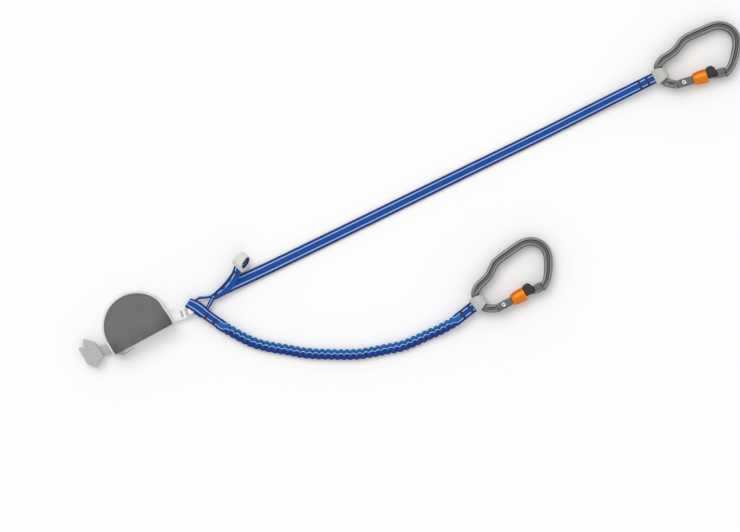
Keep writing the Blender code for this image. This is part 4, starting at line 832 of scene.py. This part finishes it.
def lay_rolled_strap():
    """The strap from the sewn joint to the rest loop: rolled at first, then flat."""
    place = stub_place()
    rows = in_metres(ROLLED_ROUTE)
    rows.append([*(place @ Vector((ROLLED_END, 0.0, 0.0))), STUB_WIDTH, ROLLED_END_PLY])
    rows = at_even_steps(rows)
    flat = place.to_3x3() @ Vector((0.0, 1.0, 0.0))
    count = len(rows) - 1
    sides = []
    for i in range(count + 1):
        ahead = Vector(rows[min(i + 1, count)][:3]) - Vector(rows[max(i - 1, 0)][:3])
        level = Vector((-ahead.y, ahead.x, 0.0)).normalized()
        sides.append(level.lerp(flat, ease(i / count, 0.45, 1.0)).normalized())
    course = lay_strap(rows, [row[3] / 2 for row in rows], [row[4] for row in rows], sides=sides)
    # One stripe shows, beside the middle.
    sew_strap("upper_rolled_strap", course, blue_webbing, "upper_arm", None, 24, 2.8,
              0.05 * MM, [(0.8, 0.36)] * len(rows))
    for number, (reach, aside) in enumerate(((6.0, 1.5), (18.0, 2.3), (30.5, 2.6))):
        bar_tack(f"joint_tack_{number + 1}", course, reach * MM, 2.8 * MM, 4.2 * MM, dark_thread,
                 "upper_arm", 8, 0.3 * MM, aside * MM)
    bar_tack("stub_tack", course, course.reach[-1] - 8.7 * MM, 6.2 * MM, 2.6 * MM,
             dark_thread, "upper_arm")


def lay_upper_inner_loop():
    """A thin strand round the link's bend, and the joint where it is sewn to the strap."""
    rows = at_even_steps(in_metres([(x, y, STRAND_LEVEL, w) for x, y, w in STRAND_ROUTE]))
    count = len(rows) - 1
    course = lay_strap(rows, [row[3] / 2 for row in rows], STRAND_PLY,
                       plan_frame(LINK_AT, LINK_TURN))
    # The strand turns over on its way, so one stripe shows after the other.
    shares = [(0.5, 0.55 - 1.4 * ease(i / count, 0.22, 0.32)) for i in range(count + 1)]
    sew_strap("upper_inner_strand", course, blue_webbing, "upper_arm",
              "upper_inner_loop", 20, 3.0, 0.03 * MM, shares)

    rows = at_even_steps(in_metres(JOINT_ROUTE))
    course = lay_strap(rows, [row[3] / 2 for row in rows], [row[4] for row in rows])
    sew_strap("upper_sewn_joint", course, blue_webbing, "upper_arm", None, 24, 3.4)


def lay_lower_inner_loop():
    """A flat loop whose under ply is drawn in where it passes through the link's eye."""
    rows = at_even_steps(in_metres(INNER_ROUTE))
    course = lay_strap(rows, [row[3] for row in rows], INNER_PLY,
                       plan_frame(ARM_PIVOT, LOWER_TURN, LOWER_LEVEL), True)
    thin_ends(course, INNER_THINNED)
    course.face = -1
    sew_strap("lower_inner_strap", course, blue_webbing, "lower_arm",
              "lower_inner_loop")
    for number, spot in enumerate((14.4, 25.8)):
        bar_tack(f"lower_tack_{number + 1}", course, (INNER_ROUTE[0][0] - spot) * MM, 6.4 * MM,
                 3.2 * MM, dark_thread, "lower_arm", 10, TACK_THREAD, -0.6 * MM)


# Link, hitch and sling

def lay_link():
    """The white loop, drawn in from 12.6 mm to 4.4 mm wide where it goes into its bend."""
    rows = []
    for x, z in fold_line(LINK_BEND, LINK_TAIL, LINK_SEWN, LINK_OPEN, LINK_PLY / 2):
        narrow = min(1.0, max(0.0, (x + 15.5 * MM) / (4.5 * MM)))
        rows.append((x, -0.9 * MM, z, (6.3 - 4.1 * narrow) * MM))
    rows = at_even_steps(rows)
    course = lay_strap(rows, [row[3] for row in rows], LINK_PLY,
                       plan_frame(LINK_AT, LINK_TURN, LINK_LEVEL), True)
    sew_strap("link_strap", course, white_webbing, "absorber", "link_loop")
    for number, spot in enumerate((-19.5, -12.4)):
        bar_tack(f"link_tack_{number + 1}", course, spot * MM - LINK_TAIL, 7.6 * MM, 2.4 * MM,
                 pale_thread, "absorber", 6, TACK_THREAD, 0.4 * MM)


def split_off(mesh, place, keep_right):
    """Keeps the sling's part to the right or to the left of the wrap's inner fold."""
    with reshaped(mesh) as shape:
        bmesh.ops.remove_doubles(shape, verts=shape.verts, dist=0.001 * MM)
        cut = bmesh.ops.bisect_plane(shape, geom=shape.verts[:] + shape.edges[:] + shape.faces[:],
                                     plane_co=place @ Vector((HITCH_CUT, 0.0, 0.0)),
                                     plane_no=place.to_3x3() @ Vector((1.0, 0.0, 0.0)),
                                     clear_inner=keep_right, clear_outer=not keep_right)
        rim = [e for e in cut["geom_cut"] if isinstance(e, bmesh.types.BMEdge)]
        bmesh.ops.contextual_create(shape, geom=rim)
        bmesh.ops.recalc_face_normals(shape, faces=shape.faces)


def tape_piece(name, node, meshes, place, voxel, rounds, wrinkle):
    """Joins meshes to one soft form of grey tape, with its weave along the strap."""
    mesh = bpy.data.meshes.new(name)
    with reshaped(mesh) as shape:
        for part in meshes:
            shape.from_mesh(part)
    mesh = worn_soft(mesh, voxel, rounds, wrinkle)
    marks = mesh.attributes.new("weave", "FLOAT_VECTOR", "POINT")
    home = place.inverted()
    for mark, point in zip(marks.data, mesh.vertices):
        spot = home @ point.co
        mark.vector = (spot.x, spot.y + spot.z, 0.0)
    return make_piece(name, mesh, grey_webbing, "absorber", node)


def lay_hitch():
    """The bight lies round its opening and over the strap as one soft fold."""
    place = plan_frame(HITCH_AT, HITCH_TURN)
    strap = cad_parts["sling_strap"].data.copy()
    bight = strap.copy()
    split_off(strap, place, True)
    split_off(bight, place, False)
    bridges = [solids("bridge", [[[place @ Vector((x * MM, y * MM, z * MM))
                                   for x, y in HITCH_BRIDGE] for z in levels]])
               for levels in BRIDGE_LEVELS]
    tape_piece("hitch_wrap", "hitch_band", [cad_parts["hitch_band"].data, bight] + bridges,
               place, voxel=0.5 * MM, rounds=16, wrinkle=0.35 * MM)
    sling = tape_piece("sling_legs", "sling_strap", [strap], place, voxel=0.4 * MM, rounds=8,
                       wrinkle=0.2 * MM)
    # The strap is pinched up to 30 percent thinner in the wrap, and a groove 0.35 mm deep along
    # its edges parts its two plies.
    home = place.inverted()
    for point in sling.data.vertices:
        spot = home @ point.co
        pinch = 1 - 0.30 * (1 - ease(spot.x, 0.5 * MM, 6.0 * MM))
        seam = math.exp(-((spot.z - SLING_LEVEL) / (0.5 * MM)) ** 2)
        spot.z = SLING_LEVEL + (spot.z - SLING_LEVEL) * pinch
        spot.y -= math.copysign(0.35 * MM * seam * (abs(spot.y) > 4.4 * MM), spot.y)
        point.co = place @ spot


# Pouch

def as_it_lies(x, y, poke):
    """The plan's corners poke out, and its right flank is drawn up to 1.9 mm in."""
    low = 1 - ease(y, -1.0 * MM, 13.0 * MM)
    x += math.copysign(poke, x) * low * min(1.0, abs(x) / (34.0 * MM)) ** 2
    if x > 0:
        x -= 1.9 * MM * math.exp(-((y - 21.0 * MM) / (9.0 * MM)) ** 2) * x / (39.0 * MM)
    return x, y


def pouch_outline(radius, bottom, corner, step=5.0, poke=1.6 * MM):
    """An arc over a straight edge, with small round corners, at even turns."""
    inner = radius - corner
    lift = bottom + corner - ARC_CENTRE
    spread = math.sqrt(inner ** 2 - lift ** 2)
    turn = math.degrees(math.atan2(lift, spread))
    steps = round((180 - 2 * turn) / step)
    # From the right corner over the arc, round the left corner and back along the edge
    outline = [(x, y + ARC_CENTRE) for x, y in arc(radius, turn, 180 - turn, steps)]
    outline += [(x - spread, y + bottom + corner) for x, y in arc(corner, 180 - turn, 270, 5)[1:]]
    count = 12
    outline += [(-spread + 2 * spread * i / count, bottom) for i in range(1, count)]
    outline += [(x + spread, y + bottom + corner) for x, y in arc(corner, -90, turn, 5)[:-1]]
    return [as_it_lies(x, y, poke) for x, y in outline]


def front_level(spot, share):
    """The front's slightly uneven dome, with soft folds along the zip and at both corners."""
    height = FRONT_LEVEL + DOME * (1 - share ** 2)
    uneven = noise.noise(Vector((spot.x, spot.y, 0.0)) / (14.0 * MM))
    height += 0.45 * MM * (1 - share ** 4) * uneven
    for start, end, deep in FRONT_FOLDS:
        start, end = Vector(start) * MM, Vector(end) * MM
        along = min(1.0, max(0.0, (spot - start).dot(end - start) / (end - start).length_squared))
        away = (spot - start.lerp(end, along)).length / FOLD_WIDTH
        height -= deep * MM * math.exp(-away * away) * (1 if share < 0.97 else 0.3)
    return height


def panel(name, node, place, rows):
    """A panel of cloth: rings over its outside, round its edge and back inside, each with its
    share of the outline and its level in millimetres, or None for a level on the front's dome."""
    outline = pouch_outline(ARC_RADIUS, 0.0, CORNER / 2, poke=2.9 * MM)
    rings = []
    for share, level in rows:
        spots = [Vector((x * share, ARC_CENTRE + (y - ARC_CENTRE) * share)) for x, y in outline]
        rings.append([place @ Vector((*spot, front_level(spot, share) if level is None
                                      else level * MM)) for spot in spots])
    make_piece(name, skin(name, rings), pouch_cloth, "absorber", node)


def slack(x, y, level, share):
    """A spot of the wall's cloth, which isn't held tight between its two seams."""
    out = Vector((x, y - ARC_CENTRE, 0.0)).normalized()
    loose = math.sin(math.pi * share) * ease(y, 3.0 * MM, 12.0 * MM)
    folds = noise.noise(Vector((x, y, level * 1.4)) / (9.0 * MM))
    return tuple(Vector((x, y, level)) + out * loose * folds * 1.1 * MM)


def sew_wall(place):
    """The gusset between both panels, bulged a little between its seams."""
    radius = ARC_RADIUS + RIM_OUT
    rings = []
    for share, bulge in WALL_BULGES:
        level = WALL_LOW + (WALL_TOP - WALL_LOW) * share
        outline = pouch_outline(radius + bulge * MM, RIM_INSET - bulge * MM * 0.6, CORNER)
        rings.append([slack(x, y, level, share) for x, y in outline])
    count = len(rings[0])
    inner = pouch_outline(radius - WALL_PLY, RIM_INSET + WALL_PLY, CORNER)
    inner = (inner + inner[-1:] * count)[:count]
    rings += [[(x, y, level) for x, y in inner] for level in (WALL_TOP, WALL_LOW)]
    points = [[place @ Vector(p) for p in ring] for ring in rings]
    make_piece("pouch_gusset_wall", skin("pouch_gusset_wall", points, closed=True), gusset_cloth,
               "absorber", "pouch_gusset")


def sew_piping(name, place, level):
    """A soft cord of binding round a panel's seam."""
    outline = pouch_outline(ARC_RADIUS + 0.9 * MM, RIM_INSET + 0.2 * MM, CORNER)
    line = [place @ Vector((x, y, level)) for x, y in outline]
    wide, tall = PIPING_HALF
    rings = []
    for i, point in enumerate(line):
        ahead = (line[(i + 1) % len(line)] - line[i - 1]).normalized()
        side = Vector((-ahead.y, ahead.x, 0.0))
        rings.append([point + side * wide * a + UP * tall * b
                      for a, b in arc(1.0, 0, 330, 11)])
    make_piece(name, skin(name, rings, closed=True), binding, "absorber")


def stitch_seam(place, radius=0.2 * MM):
    """A row of short stitches round the front panel, each a little proud between its ends."""
    seam = pouch_outline(ARC_RADIUS * 0.955, 1.7 * MM, CORNER * 0.7, 2.0, 2.4 * MM)
    loop = [tuple(Vector((x, y, 0.0))) for x, y in seam + seam[:1]]
    spots = at_even_steps(loop, STITCH, 2)
    rows = []
    for pair in zip(spots[::2], spots[1::2]):
        start, end = [place @ Vector((x, y, front_level(Vector((x, y)), 0.9 + 0.055 * ease(
            y, 2.0 * MM, 6.0 * MM)) - 0.04 * MM)) for x, y, z in pair]
        line = [start - UP * radius, start.lerp(end, 0.25) + UP * radius * 0.8,
                start.lerp(end, 0.75) + UP * radius * 0.8, end - UP * radius]
        rows.append(thread_tube(line, radius, 5))
    make_piece("front_seam_stitches", solids("front_seam_stitches", rows), grey_thread,
               "absorber")


def build_pouch():
    place = plan_frame(POUCH_AT, POUCH_TURN)
    dome = [0.01] + [k / 24 for k in range(1, 24)] + [0.975, 0.988]
    panel("pouch_front_panel", "pouch_front", place, [(share, None) for share in dome] + [
        (1.0, 22.3), (0.985, 21.65), (0.9, 21.65), (0.4, 21.65), (0.02, 21.65)])
    panel("pouch_back_panel", "pouch_back", place, [
        (0.02, 2.0), (0.5, 2.0), (0.95, 2.0), (1.0, 1.1), (0.965, 0.0), (0.8, 0.0), (0.4, 0.0),
        (0.02, 0.0)])
    sew_wall(place)
    sew_piping("front_piping", place, 21.7 * MM)
    sew_piping("back_piping", place, 2.0 * MM)
    stitch_seam(place)


def build_zip():
    """The tape stands a little out of the wall's straight edge, with two rows of closed teeth."""
    place = plan_frame(POUCH_AT, POUCH_TURN)
    half = ZIP_LENGTH / 2
    back = RIM_INSET + 1.4 * MM
    low, high = ZIP_LEVEL - ZIP_HEIGHT / 2, ZIP_LEVEL + ZIP_HEIGHT / 2
    steps = 66
    rings = []
    for i in range(steps + 1):
        x = -half + ZIP_LENGTH * i / steps
        wave = 0.05 * MM * math.sin(i * 1.3)
        rings.append([place @ Vector((x, y, z)) for y, z in (
            (back, low), (ZIP_FACE + wave, low), (ZIP_FACE - wave * 0.5, ZIP_LEVEL),
            (ZIP_FACE + wave, high), (back, high))])
    make_piece("zip_tape", skin("zip_tape", rings), zip_cloth, "absorber", "zip_teeth")

    rows = []
    pitch = ZIP_LENGTH / TOOTH_COUNT
    for i in range(TOOTH_COUNT):
        middle = -half + pitch * (i + 0.5)
        level = ZIP_LEVEL + 0.35 * MM * (1 if i % 2 else -1)
        rings = []
        for out, grow in ((0.2, 1.0), (-0.3, 1.0), (-0.42, 0.75)):
            wide, tall = pitch * 0.36 * grow, TOOTH_HALF_HEIGHT * grow
            rings.append([place @ Vector((middle + a * wide, ZIP_FACE + out * MM, level + b * tall))
                          for a, b in ((-1, -1), (1, -1), (1, 1), (-1, 1))])
        rows.append(rings)
    make_piece("zip_teeth_row", solids("zip_teeth_row", rows), zip_polyamide, "absorber",
               smooth=40)


def fold_absorber():
    """The tear webbing folded in plies inside the pouch, with an elastic band round it."""
    place = plan_frame(POUCH_AT, POUCH_TURN) @ Matrix.Translation((0.0, PACK_CENTRE, 0.0))
    low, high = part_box("tear_webbing")
    ply = (high.z - low.z - (PLIES - 1) * PLY_GAP) / PLIES
    pitch = ply + PLY_GAP
    half = TEAR_HALF_LENGTH - ply
    line = []
    for i in range(PLIES):
        level = low.z + ply / 2 + i * pitch
        way = 1 if i % 2 == 0 else -1
        line += [(-way * half, 0.0, level), (0.0, 0.0, level), (way * half, 0.0, level)]
        if i < PLIES - 1:
            line += [(way * (half + x), 0.0, level + pitch / 2 + z)
                     for x, z in arc(pitch / 2, -60, 60, 3)]
    course = lay_strap(at_even_steps(line, 1.2 * MM), TEAR_HALF_WIDTH, ply * 0.92, place, True)
    sew_strap("absorber_tear_webbing", course, white_webbing, "absorber", "tear_webbing")

    low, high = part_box("pack_band")
    middle = (low.z + high.z) / 2
    tall = (high.z - low.z) / 2 - 0.4 * MM
    ring = [(y * BAND_HALF_WIDTH, z * tall) for y, z in section(48, 8.0)]
    rings = []
    for i, (y, z) in enumerate(ring):
        before, after = ring[i - 1], ring[(i + 1) % len(ring)]
        out = Vector((0.0, after[1] - before[1], before[0] - after[0])).normalized()
        centre = Vector((0.0, y, z + middle))
        rings.append([place @ (centre + Vector((x * BAND_HALF_LENGTH, 0.0, 0.0))
                               + out * t * BAND_HALF_PLY) for x, t in section(12, 4.0)])
    make_piece("absorber_elastic_band", skin("absorber_elastic_band", rings, closed=True),
               dark_elastic, "absorber", "pack_band")


# Metal and moulded parts

def dress_rivet(side):
    """The rivet's rolled head, with its dimple, on a dark ring that is a painted shadow round it.
    The profiles are radius and height over the rivet's end, in millimetres."""
    low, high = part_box(side + "_hinge_rivet")
    up = carabiner_place(side).to_3x3()
    centre = (low + high) / 2
    half = (high.z - low.z) / 2 - 0.25 * MM
    for part, look, slot, profile in (
            # A painted shadow: a thin black ring round the head where shade falls.
            ("rivet_washer", black_nylon, "collar",
             [(2.2, 0.0), (3.5, 0.0), (3.5, 0.18), (3.3, 0.26), (2.2, 0.26)]),
            ("rivet_head", turned_steel, "steel",
             [(0.1, -0.2), (2.6, -0.2), (2.9, 0.1), (2.75, 0.45), (2.1, 0.62), (1.3, 0.55),
              (0.9, 0.30), (0.4, 0.22), (0.1, 0.22)])):
        rings = [[centre + up @ Vector((x * MM, y * MM, half + rise * MM))
                  for x, y in arc(radius, 0, 345, 23)] for radius, rise in profile]
        make_piece(f"{side}_{part}", skin(part, rings, closed=part == "rivet_washer"), look,
                   side + "_carabiner", smooth=70)


def finish_hard_parts():
    refined("zip_slider_body", "zip_slider", slider_zinc, "zip_slider_body", 0.8)
    refined("zip_puller_tab", "zip_puller", slider_zinc, "zip_puller_body", 0.6)
    for side in CARABINERS:
        for name, node, look, body, slot, edge in (
                ("forged_frame", "frame", forged_alloy, "carabiner", "metal", 0.75),
                ("turned_rivet", "hinge_rivet", turned_steel, "carabiner", "steel", 0.75),
                ("forged_gate", "gate", forged_alloy, "gate_body", "metal", 0.6),
                ("moulded_collar", "gate_collar", black_nylon, "gate_body", "collar", 0.75),
                ("turned_barrel", "sleeve_barrel", orange_alloy, "sleeve_body", "barrel", 0.75)):
            refined(f"{side}_{name}", f"{side}_{node}", look, f"{side}_{body}", edge)
        dress_rivet(side)
        for node in ("gate_plunger", "sleeve_spring"):
            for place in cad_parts[f"{side}_{node}"].material_slots:
                place.material = spring_steel


# Camera, light and floor

def set_camera():
    data = bpy.data.cameras.new("camera")
    data.sensor_width = SENSOR
    data.lens = SENSOR * CAMERA_AT[2] / (PHOTO_WIDTH_PIXELS * PIXEL)
    data.clip_start = 0.1
    data.clip_end = 50.0
    camera = new_object("camera", data)
    camera.location = CAMERA_AT
    bpy.context.scene.camera = camera


def set_light():
    """A white tent, white where it is seen or mirrored, with a soft key light from the upper
    left."""
    world = bpy.data.worlds.new("white_tent")
    world.use_nodes = True
    bpy.context.scene.world = world
    tree = world.node_tree
    path = add(tree, "LightPath")
    seen = add(tree, "Math", (path.outputs["Is Camera Ray"], path.outputs["Is Glossy Ray"]),
               operation="MAXIMUM")
    seen = add(tree, "Math", (seen, path.outputs["Is Transmission Ray"]),
               operation="MAXIMUM")
    level = add(tree, "MapRange", (seen, 0.0, 1.0, 0.74, 1.0))
    tree.links.new(level.outputs[0], tree.nodes["Background"].inputs["Strength"])
    tree.nodes["Background"].inputs["Color"].default_value = (1.0, 1.0, 1.0, 1.0)
    data = bpy.data.lights.new("key_light", "SUN")
    data.energy = 0.95
    data.angle = math.radians(40)
    new_object("key_light", data).rotation_euler = (math.radians(-28), math.radians(-22), 0.0)


def set_floor():
    mesh = bpy.data.meshes.new("floor")
    with reshaped(mesh) as shape:
        bmesh.ops.create_grid(shape, x_segments=8, y_segments=8, size=4.0)
    floor = new_object("floor", mesh)
    floor.location.z = FLOOR_LEVEL
    # Seamless studio paper: white and matt, without any gloss.
    mesh.materials.append(finish("seamless_white_paper", "FFFFFF", 0.95,
                                 specular_ior_level=0.0)[0])


bpy.context.scene.view_settings.view_transform = "Standard"
set_camera()
lay_upper_arm()
lay_lower_arm()
set_light()
set_floor()
lay_upper_inner_loop()
lay_lower_inner_loop()
lay_end_loops()
lay_stub()
lay_rolled_strap()
lay_link()
lay_hitch()
build_pouch()
build_zip()
fold_absorber()
finish_hard_parts()
